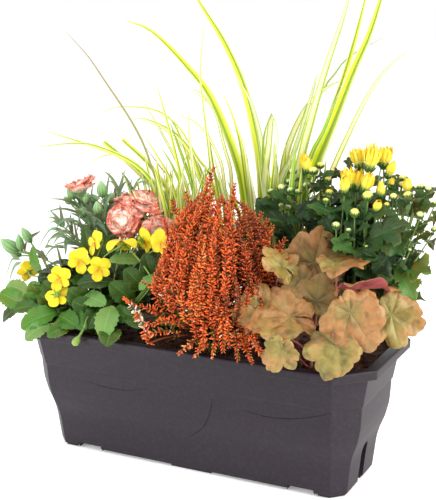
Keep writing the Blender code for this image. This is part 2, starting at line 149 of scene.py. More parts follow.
class Growth:
    """The shells, stems and florets of one piece, gathered until it becomes a mesh."""

    def __init__(self):
        self.points, self.place, self.mark = [], [], []
        self.quads, self.triangles, self.quad_slot, self.triangle_slot = [], [], [], []
        self.sharp = []
        self.count = 0

    def add(self, points, quads=None, triangles=None, place=None, mark=None, slot=0, sharp=None):
        """slot is one material's number, or one for each face: quads first, then triangles."""
        n = len(points)
        quads = np.zeros((0, 4), int) if quads is None else np.asarray(quads)
        triangles = np.zeros((0, 3), int) if triangles is None else np.asarray(triangles)
        slots = np.broadcast_to(slot, len(quads) + len(triangles))
        self.points.append(points)
        self.place.append(np.zeros((n, 3)) if place is None else place)
        self.mark.append(np.zeros((n, 3)) if mark is None else mark)
        self.quads.append(quads + self.count)
        self.triangles.append(triangles + self.count)
        self.quad_slot.append(slots[: len(quads)])
        self.triangle_slot.append(slots[len(quads):])
        if sharp is not None:
            self.sharp.append(np.asarray(sharp) + self.count)
        self.count += n

    def sheet(self, grid, u, v, tone, slot, thickness=0.0004, under=None, mark=None):
        """A closed shell on a grid of points, rows along it and columns across it."""
        rows, cols = grid.shape[:2]
        normal = unit(np.cross(np.gradient(grid, axis=1), np.gradient(grid, axis=0)))
        inner = np.zeros((rows, cols), bool)
        inner[1:-1, 1:-1] = True
        top = grid + normal * (thickness / 2) * inner[..., None]
        low = (grid - normal * (thickness / 2))[inner]
        ids = np.arange(rows * cols).reshape(rows, cols)
        below = ids.copy()
        below[inner] = rows * cols + np.arange(inner.sum())
        place = np.stack([u, v, np.full(u.shape, tone)], -1)
        mark = np.zeros((rows, cols, 3)) if mark is None else mark
        upper, lower = grid_quads(ids), grid_quads(below)[:, [0, 3, 2, 1]]
        rim = grid_rim(ids)
        self.add(
            np.vstack([top.reshape(-1, 3), low]),
            quads=np.vstack([upper, lower]),
            place=np.vstack([place.reshape(-1, 3), place[inner]]),
            mark=np.vstack([mark.reshape(-1, 3), mark[inner]]),
            slot=np.repeat([slot, slot if under is None else under], [len(upper), len(lower)]),
            sharp=np.stack([rim, np.roll(rim, -1)], 1),
        )

    def tube(self, path, radius, sides=6, tone=0.5, slot=0, hint=(1.0, 0.1, 0.0)):
        """A closed stem along a path. radius is one number or one for each point."""
        count = len(path)
        along, side, _ = travel(path, hint)
        other = np.cross(along, side)
        angle = 2 * math.pi * np.arange(sides) / sides
        radius = np.broadcast_to(radius, count)[:, None, None]
        round_it = np.cos(angle)[:, None] * side[:, None] + np.sin(angle)[:, None] * other[:, None]
        rings = path[:, None] + radius * round_it
        points = np.vstack([rings.reshape(-1, 3), path[:1], path[-1:]])
        i = np.arange(sides)
        j = (i + 1) % sides
        base = (np.arange(count - 1) * sides)[:, None]
        above = base + sides
        quads = np.stack([base + i, base + j, above + j, above + i], -1).reshape(-1, 4)
        first = np.stack([np.full(sides, count * sides), j, i], 1)
        top = (count - 1) * sides
        last = np.stack([np.full(sides, count * sides + 1), top + i, top + j], 1)
        v = np.repeat(np.linspace(0, 1, count), sides)
        u = np.tile(i / sides, count)
        place = np.stack([np.r_[u, 0.5, 0.5], np.r_[v, 0, 1], np.full(len(points), tone)], 1)
        self.add(points, quads=quads, triangles=np.vstack([first, last]), place=place, slot=slot)

    def copies(self, shape, places, turns, tones, slots):
        """Many copies of a small closed shape: its points, faces and places, moved and turned."""
        points, triangles, place = shape
        k, n = len(places), len(points)
        moved = np.einsum("pi,kij->kpj", points, turns) + np.asarray(places)[:, None]
        faces = triangles[None] + (np.arange(k) * n)[:, None, None]
        marks = np.repeat(np.asarray(tones)[:, None], n, 1)
        spots = np.concatenate([np.broadcast_to(place, (k, n, 2)), marks[..., None]], -1)
        self.add(moved.reshape(-1, 3), triangles=faces.reshape(-1, 3), place=spots.reshape(-1, 3),
                 slot=np.repeat(slots, len(triangles)))

    def build(self, name, materials, slot, nodes=()):
        """The mesh of this piece. It rides on the body and stands for its CAD nodes."""
        quads, triangles = np.vstack(self.quads), np.vstack(self.triangles)
        loops = np.r_[quads.ravel(), triangles.ravel()].astype(np.int32)
        starts = np.r_[np.arange(len(quads)) * 4, len(quads) * 4 + np.arange(len(triangles)) * 3]
        mesh = bpy.data.meshes.new(name)
        mesh.vertices.add(self.count)
        mesh.vertices.foreach_set("co", np.vstack(self.points).astype(np.float32).ravel())
        mesh.loops.add(len(loops))
        mesh.loops.foreach_set("vertex_index", loops)
        mesh.polygons.add(len(starts))
        mesh.polygons.foreach_set("loop_start", starts.astype(np.int32))
        slots = np.concatenate([*self.quad_slot, *self.triangle_slot]).astype(np.int32)
        mesh.polygons.foreach_set("material_index", slots)
        for material in materials:
            mesh.materials.append(material)
        mesh.update(calc_edges=True)
        mesh.shade_smooth()
        for label, values in (("place", self.place), ("mark", self.mark)):
            made = mesh.attributes.new(label, "FLOAT_VECTOR", "POINT")
            made.data.foreach_set("vector", np.vstack(values).astype(np.float32).ravel())
        if self.sharp:
            edges = np.zeros(len(mesh.edges) * 2, np.int32)
            mesh.edges.foreach_get("vertices", edges)
            pairs = np.sort(edges.reshape(-1, 2).astype(np.int64), 1)
            rims = np.sort(np.vstack(self.sharp).astype(np.int64), 1)
            marked = np.isin(pairs @ [self.count, 1], rims @ [self.count, 1])
            made = mesh.attributes.new("sharp_edge", "BOOLEAN", "EDGE")
            made.data.foreach_set("value", marked)
        mesh.update()
        piece = bpy.data.objects.new(name, mesh)
        bpy.context.scene.collection.objects.link(piece)
        return settle(piece, nodes)


def settle(piece, nodes):
    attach(piece, "root")
    if nodes:
        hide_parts(*nodes)
    return piece


# ---- materials --------------------------------------------------------------------------


def colour(code):
    """A linear colour from its usual six-figure code."""
    parts = [int(code[i:i + 2], 16) / 255 for i in (0, 2, 4)]
    linear = [p / 12.92 if p <= 0.04045 else ((p + 0.055) / 1.055) ** 2.4 for p in parts]
    return (*linear, 1.0)


class Look:
    """A material made node by node round one Principled shader."""

    def __init__(self, name, **constants):
        self.material = bpy.data.materials.new(name)
        self.material.use_nodes = True
        self.tree = self.material.node_tree
        self.shader = self.tree.nodes["Principled BSDF"]
        for socket, value in constants.items():
            self.shader.inputs[socket.replace("_", " ")].default_value = value

    def node(self, kind, output, inputs=(), **settings):
        made = self.tree.nodes.new("ShaderNode" + kind)
        for key, value in settings.items():
            setattr(made, key, value)
        for key, value in dict(inputs).items():
            self.put(made.inputs[key], value)
        return made.outputs[output]

    def put(self, socket, value):
        if isinstance(value, bpy.types.NodeSocket):
            self.tree.links.new(value, socket)
        else:
            socket.default_value = value

    def place(self, part):
        """Part 0 is across from -1 to 1, 1 along from 0 to 1, 2 the tone of the leaf."""
        return self.split("place", part)

    def split(self, label, part):
        vector = self.node("Attribute", "Vector", attribute_name=label)
        return self.node("SeparateXYZ", "XYZ"[part], {"Vector": vector})

    def here(self, x=1.0, y=1.0, z=1.0):
        """The point's own coordinates in metres, stretched."""
        vector = self.node("TexCoord", "Object")
        return self.node("Mapping", "Vector", {"Vector": vector, "Scale": (x, y, z)})

    def noise(self, scale, detail=3.0, vector=None, distortion=0.0):
        vector = self.here() if vector is None else vector
        return self.node("TexNoise", "Fac", {
            "Vector": vector, "Scale": scale, "Detail": detail, "Distortion": distortion})

    def math(self, operation, a, b=0.0, c=0.0):
        made = self.tree.nodes.new("ShaderNodeMath")
        made.operation = operation
        for socket, value in zip(made.inputs, (a, b, c)):
            self.put(socket, value)
        return made.outputs[0]

    def times(self, a, b):
        return self.math("MULTIPLY", a, b)

    def line(self, value, slope, start):
        """value times slope, plus start."""
        return self.math("MULTIPLY_ADD", value, slope, start)

    def stripes(self, value, count):
        """From 0 to 0.5 and back, count times for each step of 1."""
        return self.math("PINGPONG", self.times(value, count), 0.5)

    def ramp(self, value, *stops):
        """Colours between stops, each a position with a colour or a number."""
        made = self.tree.nodes.new("ShaderNodeValToRGB")
        elements = made.color_ramp.elements
        while len(elements) < len(stops):
            elements.new(0.5)
        for element, (position, shade) in zip(elements, stops):
            element.position = position
            element.color = colour(shade) if isinstance(shade, str) else (shade,) * 3 + (1.0,)
        self.put(made.inputs[0], value)
        return made.outputs[0]

    def mix(self, share, a, b, blend="MIX"):
        made = self.tree.nodes.new("ShaderNodeMix")
        made.data_type = "RGBA"
        made.blend_type = blend
        self.put(made.inputs[0], share)
        for socket, value in ((made.inputs[6], a), (made.inputs[7], b)):
            self.put(socket, colour(value) if isinstance(value, str) else value)
        return made.outputs[2]

    def paint(self, value):
        self.put(self.shader.inputs["Base Color"], value)

    def rough(self, value, low, high):
        """Roughness from low to high as value goes from 0 to 1."""
        self.put(self.shader.inputs["Roughness"], self.line(value, high - low, low))

    def bump(self, height, distance, strength):
        self.put(self.shader.inputs["Normal"], self.node("Bump", "Normal", {
            "Height": height, "Distance": distance, "Strength": strength}))


# ---- camera, floor and light ------------------------------------------------------------

# The place in metres, the angles in degrees, the focal length in mm for a 36 mm wide picture.
CAMERA_PLACE = (0.5216, -0.9949, 0.5073)
CAMERA_TURN = 27.16
CAMERA_DIP = 14.23
CAMERA_ROLL = -0.95
CAMERA_LENS = 81.8
WHITE = (1.0, 1.0, 1.0)
WARM = (1.0, 0.93, 0.86)
WORLD_LIGHT = 0.8
FLOOR_REACH = 6.0
FLOOR_DROP = 0.0004
FLOOR_GLOW = 0.24
PLANTER_MIDDLE = (0.0, 0.0, 0.2)
# Name, place, aim, side of the square, power in watts, tint.
SOFTBOXES = (
    ("right_softbox", (1.6, -0.1, 0.8), PLANTER_MIDDLE, 1.0, 32, WARM),
    ("top_softbox", (-0.3, -0.8, 1.8), PLANTER_MIDDLE, 1.2, 12, WHITE),
    ("left_softbox", (-0.55, -0.6, 0.3), (-0.2, -0.08, 0.06), 0.3, 2.6, WHITE),
    ("back_softbox", (-0.7, 1.3, 1.2), PLANTER_MIDDLE, 1.2, 9, WHITE),
)


def make_camera():
    turn, dip, roll = (math.radians(x) for x in (CAMERA_TURN, CAMERA_DIP, CAMERA_ROLL))
    ahead = outward(turn + math.pi / 2, -dip)
    level = np.array([math.cos(turn), math.sin(turn), 0.0])
    upright = np.cross(level, ahead)
    right = turned(roll, level, upright)
    up = math.cos(roll) * upright - math.sin(roll) * level
    data = bpy.data.cameras.new("camera")
    data.lens = CAMERA_LENS
    data.sensor_width = 36.0
    camera = bpy.data.objects.new("camera", data)
    camera.matrix_world = Matrix.Translation(CAMERA_PLACE) @ Matrix(
        np.stack([right, up, -ahead], 1).tolist()).to_4x4()
    bpy.context.scene.collection.objects.link(camera)
    bpy.context.scene.camera = camera


def make_light(name, place, target, size, power, tint):
    data = bpy.data.lights.new(name, "AREA")
    data.shape = "SQUARE"
    data.size = size
    data.energy = power
    data.color = tint
    light = bpy.data.objects.new(name, data)
    light.location = place
    light.rotation_euler = (Vector(target) - Vector(place)).to_track_quat("-Z", "Y").to_euler()
    bpy.context.scene.collection.objects.link(light)


def make_studio():
    scene = bpy.context.scene
    scene.view_settings.view_transform = "Standard"
    world = bpy.data.worlds.new("studio")
    world.use_nodes = True
    tree = world.node_tree
    seen = tree.nodes.new("ShaderNodeLightPath").outputs["Is Camera Ray"]
    strength = tree.nodes.new("ShaderNodeMapRange")
    strength.inputs["To Min"].default_value = WORLD_LIGHT
    strength.inputs["To Max"].default_value = 1.0
    tree.links.new(seen, strength.inputs["Value"])
    tree.nodes["Background"].inputs["Color"].default_value = (*WHITE, 1.0)
    tree.links.new(strength.outputs["Result"], tree.nodes["Background"].inputs["Strength"])
    scene.world = world
    for softbox in SOFTBOXES:
        make_light(*softbox)
    mesh = bpy.data.meshes.new("floor")
    corners = [(x * FLOOR_REACH, y * FLOOR_REACH, -FLOOR_DROP)
               for x, y in ((-1, -1), (1, -1), (1, 1), (-1, 1))]
    mesh.from_pydata(corners, [], [(0, 1, 2, 3)])
    floor = bpy.data.objects.new("floor", mesh)
    look = Look("floor_paper", Roughness=0.9, Emission_Color=(*WHITE, 1.0),
                Emission_Strength=FLOOR_GLOW)
    look.paint(look.ramp(look.noise(3.0), (0.0, "fbfbfb"), (1.0, "ffffff")))
    mesh.materials.append(look.material)
    scene.collection.objects.link(floor)


# ---- the box ----------------------------------------------------------------------------

WALL = 0.0025
CORNER_LEG = 0.0324
CORNER_RADIUS = 0.0022
LIP_BOTTOM = 0.1305
LIP_TOP = 0.1400
LIP_INNER = 0.0120
FLOOR_TOP = 0.0085
NOTCH_WIDTH = 0.0143
NOTCH_TOP = 0.044
NOTCH_DEPTH = 0.011
FOOT_INSET = 0.0335
BELOW = -0.01
# Recesses under the base: where each starts and ends along X, and how deep it is.
RECESSES = ((0.023, 0.108, 0.003), (0.108, 0.137, 0.006), (0.137, 0.1405, 0.003))
RECESS_HALF_WIDTH = 0.1
DRAIN_X = (0.042, 0.092)
DRAIN_Y = (-0.020, 0.020)
DRAIN_RADIUS = 0.004
LINE_POINTS = 40
LINE_RADIUS = 0.0007
LIP_ROUND = 0.0022
MOUTH_ROUND = 0.0018
MOUTH_DROP = 0.0007
# Height, and how far the wall lies inside the lip there: the lower curve, then the band above.
LOWER_WALL = ((0.003, 0.0332), (0.018, 0.0314), (0.034, 0.0294), (0.044, 0.0270), (0.050, 0.0248),
              (0.057, 0.0222), (0.064, 0.0203), (0.074, 0.0182), (0.086, 0.0172), (0.0975, 0.0165))
UPPER_WALL = ((0.0985, 0.0154), (LIP_BOTTOM, 0.0095))
# Moulded lines on the front and back walls: points in X and Z on the right-hand side of the wall
# or the left, in mm.
MOULDED_LINES = (
    ((-111, 85.5), (-92, 82.8), (-72, 82.4), (-54, 84.8), (-34, 90)),
    ((36.5, 90), (32.5, 74), (23, 57), (10, 45), (0, 37)),
    ((70, 84), (96, 81.5), (120, 84), (143, 90), (163, 98)),
)
HALF_X = BOX_HIGH.x
HALF_Y = BOX_HIGH.y
CORNER_STEPS = 5


def box_wall_inset(z):
    """How far the wall's outside lies inside the lip's at a height."""
    lower = through(LOWER_WALL, 80)
    if z <= LOWER_WALL[-1][0]:
        return float(np.interp(z, lower[:, 0], lower[:, 1]))
    return float(np.interp(z, *np.transpose(UPPER_WALL)))


def box_outline(inset, z):
    """The plan at a height: a rectangle with cut corners, each of its eight edges rounded."""
    x, y = HALF_X - inset, HALF_Y - inset
    leg = CORNER_LEG - inset * (2 - math.sqrt(2))
    corners = [(x - leg, -y), (x, -y + leg), (x, y - leg), (x - leg, y),
               (-x + leg, y), (-x, y - leg), (-x, -y + leg), (-x + leg, -y)]
    ring = []
    for i, corner in enumerate(corners):
        corner = np.array(corner)
        before = unit(np.array(corners[i - 1]) - corner)
        after = unit(np.array(corners[(i + 1) % 8]) - corner)
        cut = CORNER_RADIUS * math.tan(math.radians(22.5))
        for t in np.linspace(0, 1, CORNER_STEPS):
            start, end = corner + before * cut, corner + after * cut
            spot = (1 - t) ** 2 * start + 2 * t * (1 - t) * corner + t**2 * end
            ring.append((*spot, z))
    return np.array(ring)


def solid(name, rings):
    """A closed skin through rings of the same number of points, as an object of its own."""
    count, n = len(rings), len(rings[0])
    points = np.vstack([*rings, rings[0].mean(0)[None], rings[-1].mean(0)[None]])
    faces = []
    for k in range(count - 1):
        for i in range(n):
            j = (i + 1) % n
            faces.append((k * n + i, k * n + j, (k + 1) * n + j, (k + 1) * n + i))
    for i in range(n):
        j = (i + 1) % n
        faces.append((count * n, j, i))
        faces.append((count * n + 1, (count - 1) * n + i, (count - 1) * n + j))
    mesh = bpy.data.meshes.new(name)
    mesh.from_pydata(points.tolist(), [], faces)
    made = bpy.data.objects.new(name, mesh)
    bpy.context.scene.collection.objects.link(made)
    return made


def carve(target, cutters):
    """Cuts the cutters out of the target, one after the other, and removes them."""
    for cutter in cutters:
        step = target.modifiers.new(cutter.name, "BOOLEAN")
        step.object = cutter
        step.solver = "EXACT"
    evaluated = target.evaluated_get(bpy.context.evaluated_depsgraph_get())
    mesh = bpy.data.meshes.new_from_object(evaluated)
    target.modifiers.clear()
    target.data = mesh
    for cutter in cutters:
        bpy.data.objects.remove(cutter)


def prism(name, x_from, x_to, outline):
    """A solid of one outline in Y and Z between two places along X."""
    return solid(name, [np.array([(x, y, z) for y, z in outline]) for x in (x_from, x_to)])


def arch_outline(width, top, bottom):
    half = width / 2
    rise = [(half * math.cos(a), top - half + half * math.sin(a))
            for a in np.linspace(0, math.pi, 17)]
    return [(-half, bottom), (half, bottom), *rise]


def notch_housings(wall):
    """The wall round each end channel, as seen from inside."""
    reach = HALF_X - FOOT_INSET - NOTCH_DEPTH - wall
    outline = arch_outline(NOTCH_WIDTH + 2 * wall, NOTCH_TOP + wall, BELOW)
    return [prism(f"housing_{side}", *sorted((side * reach, side * HALF_X)), outline)
            for side in (-1, 1)]


def box_cutters():
    """The end channels, the recess under the base, the drain holes and the moulded lines."""
    made = []
    notch_end = HALF_X - FOOT_INSET - NOTCH_DEPTH
    for side in (-1, 1):
        ends = sorted((side * notch_end, side * (HALF_X + 0.01)))
        made.append(prism(f"notch_{side}", *ends, arch_outline(NOTCH_WIDTH, NOTCH_TOP, BELOW)))
        for start, end, depth in RECESSES:
            ends = sorted((side * start, side * end))
            outline = [(-RECESS_HALF_WIDTH, BELOW), (RECESS_HALF_WIDTH, BELOW),
                       (RECESS_HALF_WIDTH, depth), (-RECESS_HALF_WIDTH, depth)]
            made.append(prism(f"recess_{side}_{start}", *ends, outline))
        for x, y in itertools.product(DRAIN_X, DRAIN_Y):
            turn = np.linspace(0, 2 * math.pi, 20, endpoint=False)
            circle = np.stack([side * x + DRAIN_RADIUS * np.cos(turn),
                               y + DRAIN_RADIUS * np.sin(turn)], 1)
            rings = [np.c_[circle, np.full(20, z)] for z in (BELOW, FLOOR_TOP + 0.01)]
            made.append(solid(f"drain_{side}_{x}_{y}", rings))
    for number, line in enumerate(MOULDED_LINES):
        flat = through(mm(line), LINE_POINTS)
        width = LINE_RADIUS * np.sin(np.linspace(0.15, math.pi - 0.15, LINE_POINTS)) ** 0.5
        for side in (-1, 1):
            y = [side * (HALF_Y - box_wall_inset(z)) for _, z in flat]
            path = np.stack([-side * flat[:, 0], y, flat[:, 1]], 1)
            groove = Growth()
            groove.tube(path, width, sides=6)
            rings = groove.points[0][:-2].reshape(LINE_POINTS, 6, 3)
            made.append(solid(f"line_{number}_{side}", list(rings)))
    return made


def make_box():
    """The moulding: a turned-over lip, curved walls, a hollow inside and what box_cutters cuts."""
    foot = LOWER_WALL[0][1] + 0.0022
    profile = [(foot + 0.0004, 0.0), (foot, 0.0004), (foot, 0.003)]
    profile += [(s, z) for z, s in through(LOWER_WALL, 56)]
    profile += [(0.0163, 0.0981), (0.0159, 0.0982), (0.01555, 0.0983)]
    profile += [(s, z) for z, s in through(UPPER_WALL, 12)]
    web = LIP_TOP - 0.0035
    profile += [(0.0095, web), (WALL, web), (WALL, LIP_BOTTOM + 0.0004),
                (WALL - 0.0004, LIP_BOTTOM), (0.0005, LIP_BOTTOM), (0.0001, LIP_BOTTOM + 0.0005)]
    for a in np.linspace(0, math.pi / 2, 7):
        profile.append((LIP_ROUND * (1 - math.cos(a)), LIP_TOP - LIP_ROUND * (1 - math.sin(a))))
    for a in np.linspace(0, math.pi / 2, 7):
        profile.append((LIP_INNER - MOUTH_ROUND * (1 - math.sin(a)),
                        LIP_TOP - MOUTH_DROP - MOUTH_ROUND * (1 - math.cos(a))))
    inner = [(box_wall_inset(FLOOR_TOP) + WALL + 0.002, FLOOR_TOP)]
    inner += [(s + WALL, z) for z, s in through(LOWER_WALL, 30) if z > FLOOR_TOP + 0.004]
    inner += [(box_wall_inset(LIP_BOTTOM - 0.001) + WALL, LIP_BOTTOM - 0.001)]
    inner += [(LIP_INNER - 0.00003, LIP_BOTTOM), (LIP_INNER - 0.00003, LIP_TOP + 0.01)]
    box = solid("planter_box_moulding", [box_outline(s, z) for s, z in profile])
    cavity = solid("cavity", [box_outline(s, z) for s, z in inner])
    carve(cavity, notch_housings(WALL))
    carve(box, [cavity, *box_cutters()])
    mesh = box.data
    mesh.materials.clear()
    mesh.materials.append(plastic_look())
    mesh.shade_smooth()
    mesh.set_sharp_from_angle(angle=math.radians(32))
    settle(box, ["planter_box"])


def plastic_look():
    """Dark grey moulded plastic with a violet cast, a fine matt grain and a little dust."""
    look = Look("anthracite_plastic", Specular_IOR_Level=0.32)
    broad = look.noise(9.0, 4.0)
    fine = look.noise(900.0, 2.0)
    tint = look.ramp(broad, (0.3, "1b131b"), (0.7, "201822"))
    speck = look.ramp(look.noise(260.0, 3.0), (0.45, 0.0), (0.75, 0.22))
    look.paint(look.mix(speck, tint, "44394a"))
    look.rough(broad, 0.44, 0.56)
    look.bump(look.line(fine, 0.6, look.noise(2600.0, 1.0)), 0.00008, 0.5)
    return look.material


# ---- the soil ---------------------------------------------------------------------------

SOIL_STEP = 0.0026
SOIL_GAP = 0.0004
SOIL_LEVELS = (0.118, 0.100, 0.080, 0.060, 0.045, 0.030, FLOOR_TOP + SOIL_GAP)
BARK_CHIPS = 420
BARK_FIBRES = 300
BARK_MARGIN = (0.008, 0.006)


def soil_look(name):
    look = Look(name, Roughness=0.95)
    crumbs = look.noise(420.0, 6.0)
    patches = look.noise(60.0, 4.0)
    dark = look.ramp(crumbs, (0.30, "150803"), (0.52, "3d1d09"), (0.72, "633814"))
    look.paint(look.mix(look.ramp(patches, (0.45, 0.0), (0.7, 0.7)), dark, "4a2509"))
    look.rough(crumbs, 0.85, 1.0)
    look.bump(look.line(look.noise(1500.0, 4.0), 0.4, crumbs), 0.0012, 0.9)
    return look.material


def bark_look():
    look = Look("bark_and_fibre", Roughness=0.9)
    grain = look.noise(500.0, 4.0, look.here(1.0, 6.0, 6.0))
    warm = look.ramp(look.place(2), (0.0, "2a1407"), (0.5, "562d12"), (0.8, "7d4a22"),
                     (1.0, "a0733f"))
    streak = look.ramp(grain, (0.3, "1c100a"), (0.7, "7a5333"))
    look.paint(look.mix(0.55, warm, streak, "MULTIPLY"))
    look.bump(grain, 0.0005, 0.7)
    return look.material


def soil_height(x, y):
    """Height of the soil's surface: level, with clods, a little lower along the front wall."""
    flat = np.stack([x, y], -1)
    rise = 0.0016 * lumps(flat, 0.045, 11) + 0.0012 * lumps(flat, 0.016, 12)
    rise = rise + 0.0007 * lumps(flat, 0.006, 13)
    return SOIL_HIGH.z + rise + 0.0015 - 0.002 * np.clip(-y / HALF_Y, 0, 1)


def make_soil():
    """One block of soil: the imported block's outline, with a crumbled top."""
    outline = box_outline(LIP_INNER + SOIL_GAP, 0.0)
    half_x, half_y = outline[:, 0].max(), outline[:, 1].max()
    leg = CORNER_LEG - (LIP_INNER + SOIL_GAP) * (2 - math.sqrt(2))
    xs = np.linspace(-1, 1, int(2 * HALF_X / SOIL_STEP))
    ys = np.linspace(-1, 1, int(2 * HALF_Y / SOIL_STEP))
    y = np.broadcast_to(ys[:, None] * half_y, (len(ys), len(xs)))
    x = xs[None] * (half_x - np.clip(np.abs(y) - (half_y - leg), 0, None))
    top = np.stack([x, y, soil_height(x, y)], -1).reshape(-1, 3)
    ids = np.arange(len(top)).reshape(x.shape)
    rim = grid_rim(ids)
    levels = [top]
    for z in SOIL_LEVELS:
        inset = box_wall_inset(z) + WALL + SOIL_GAP
        shrink = [(HALF_X - inset) / half_x, (HALF_Y - inset) / half_y, 0]
        levels.append(top[rim] * shrink + [0, 0, z])
    n = len(rim)
    points = np.vstack([*levels, [[0, 0, SOIL_LEVELS[-1]]]])
    quads = [grid_quads(ids)]
    above = rim
    for k in range(len(SOIL_LEVELS)):
        below = len(top) + k * n + np.arange(n)
        quads.append(np.stack([above, below, np.roll(below, -1), np.roll(above, -1)], 1))
        above = below
    base = np.stack([above, np.full(n, len(points) - 1), np.roll(above, -1)], 1)
    growth = Growth()
    growth.add(points, quads=np.vstack(quads), triangles=base)
    soil = growth.build("potting_soil_block", [soil_look("potting_soil_fibrous")], "soil",
                        ["potting_soil"])
    carve(soil, notch_housings(WALL + SOIL_GAP))


def make_bark():
    """Bark chips, crumbs and fibres that lie on the soil."""
    rng = np.random.default_rng(21)
    growth = Growth()
    wide = HALF_X - LIP_INNER - BARK_MARGIN[0]
    deep = HALF_Y - LIP_INNER - BARK_MARGIN[1]

    def spot():
        x, y = rng.uniform(-1, 1) * wide, rng.uniform(-1, 1) * deep
        reach = wide - max(0.0, abs(y) - (HALF_Y - CORNER_LEG))
        x = np.clip(x, -reach, reach)
        return x, y, float(soil_height(x, y))

    for _ in range(BARK_CHIPS):
        x, y, z = spot()
        size = rng.uniform(0.0012, 0.0042)
        heading, tilt = rng.uniform(0, 2 * math.pi), rng.uniform(-0.35, 0.35)
        along = np.array([math.cos(heading), math.sin(heading), tilt])
        reach = along * size * rng.uniform(0.8, 2.2)
        ends = np.array([x, y, z + size * 0.15]) + np.outer([-1.0, -0.4, 0.4, 1.0], reach)
        ends += rng.normal(0, size * 0.12, ends.shape)
        width = size * np.array([0.35, 0.75, 0.7, 0.3]) * rng.uniform(0.6, 1.0)
        growth.tube(ends, width, sides=5, tone=rng.uniform(0, 0.85), hint=(0.2, 0.3, 1.0))
    for _ in range(BARK_FIBRES):
        x, y, z = spot()
        heading = rng.uniform(0, 2 * math.pi)
        length = rng.uniform(0.004, 0.014)
        bend = rng.normal(0, 0.25, (4, 2)).cumsum(0) * length * 0.3
        way = [math.cos(heading), math.sin(heading)]
        line = np.outer(np.linspace(-0.5, 0.5, 4), way) * length + bend
        path = np.c_[line + [x, y], np.zeros(4)]
        path[:, 2] = soil_height(path[:, 0], path[:, 1]) + rng.uniform(0.0002, 0.0022, 4)
        growth.tube(through(path, 7), rng.uniform(0.00015, 0.0004), sides=4,
                    tone=rng.uniform(0.4, 1.0), hint=(0.0, 0.1, 1.0))
    growth.build("soil_bark_and_fibre", [bark_look()], "soil")


# ---- root balls -------------------------------------------------------------------------

STEM_FOOT = 0.122
# Plant, how many woody stems stand on its roots, seed.
ROOTS = (("viola", 9, 31), ("dianthus", 7, 32), ("fine_grass", 10, 33), ("heather", 8, 34),
         ("broad_grass", 12, 35), ("chrysanthemum", 8, 36), ("heuchera", 9, 37))


def root_ball(name, node, stems, seed):
    """A plug of roots in the soil, with the woody bases of its stems."""
    low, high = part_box(node)
    middle = (low + high) / 2
    reach = min(high.x - low.x, high.y - low.y) / 2
    rng = np.random.default_rng(seed)
    growth = Growth()
    levels = np.linspace(low.z, SOIL_HIGH.z - 0.001, 16)
    rise = (levels - levels[0]) / (levels[-1] - levels[0])
    swell = reach * (0.62 + 0.38 * np.sin(np.clip(rise * 1.25, 0, 1) * math.pi / 2))
    path = np.c_[np.full(16, middle.x), np.full(16, middle.y), levels]
    growth.tube(path, swell, sides=28, hint=(1.0, 0.0, 0.0))
    ball = growth.points[0]
    out = unit(ball * [1, 1, 0] - [middle.x, middle.y, 0])
    rough = 0.05 * reach * lumps(ball, 0.012, seed) + 0.03 * reach * lumps(ball, 0.004, seed + 1)
    growth.points[0] = ball - np.abs(rough)[:, None] * out
    for _ in range(stems):
        turn = rng.uniform(0, 2 * math.pi)
        spread = reach * 0.5 * math.sqrt(rng.uniform(0.02, 1))
        away = np.array([math.cos(turn), math.sin(turn)])
        foot = np.array([middle.x, middle.y, STEM_FOOT]) + [*spread * away, 0]
        rise_by = high.z + 0.0005 - STEM_FOOT + rng.uniform(0, 0.002)
        top = foot + [*0.004 * away, rise_by]
        width = np.linspace(0.0019, 0.0013, 6) * rng.uniform(0.7, 1.2)
        growth.tube(bow(foot, (0, 0, 1), top, 6), width, sides=7, tone=rng.uniform(0.3, 1.0),
                    slot=1)
    bark = stem_look(name + "_bark", "5b4a2c", "6f7a3a")
    growth.build(name, [soil_look(name + "_roots"), bark], "roots", [node])


def stem_look(name, low, high):
    """A stem that changes colour from its foot to its top."""
    look = Look(name, Roughness=0.5)
    grain = look.noise(700.0, 3.0)
    shade = look.ramp(look.place(1), (0.0, low), (1.0, high))
    look.paint(look.mix(0.5, shade, look.ramp(grain, (0.3, 0.45), (0.7, 1.0)), "MULTIPLY"))
    look.bump(grain, 0.0002, 0.4)
    return look.material


# ---- leaves in general ------------------------------------------------------------------

# The furthest back, in Y, that a filling leaf or blade may reach: the CAD model's back plus 5 mm.
BACK_LIMIT = 0.088


def leaf_look(name, dark, light, vein, veins=(7.0, 0.45), sheen=0.42):
    """A leaf's face: tone runs it from dark to light, with a midrib and side veins."""
    look = Look(name, Specular_IOR_Level=0.32, Subsurface_Weight=0.25, Subsurface_Scale=0.004)
    across = look.math("ABSOLUTE", look.place(0))
    along = look.place(1)
    count, slope = veins
    run = look.line(across, -slope, along)
    wave = look.stripes(run, count)
    side = look.ramp(wave, (0.0, 1.0), (0.09, 0.0))
    rib = look.ramp(across, (0.0, 1.0), (0.09, 0.0))
    lines = look.math("MAXIMUM", rib, look.times(side, 0.6))
    mottle = look.noise(160.0, 4.0)
    tone = look.line(mottle, 0.3, look.place(2))
    shade = look.ramp(tone, (0.15, dark), (1.0, light))
    look.paint(look.mix(look.times(lines, 0.55), shade, vein))
    look.rough(mottle, sheen, sheen + 0.15)
    look.bump(look.line(lines, -1.0, look.times(mottle, 0.8)), 0.0004, 0.6)
    return look.material


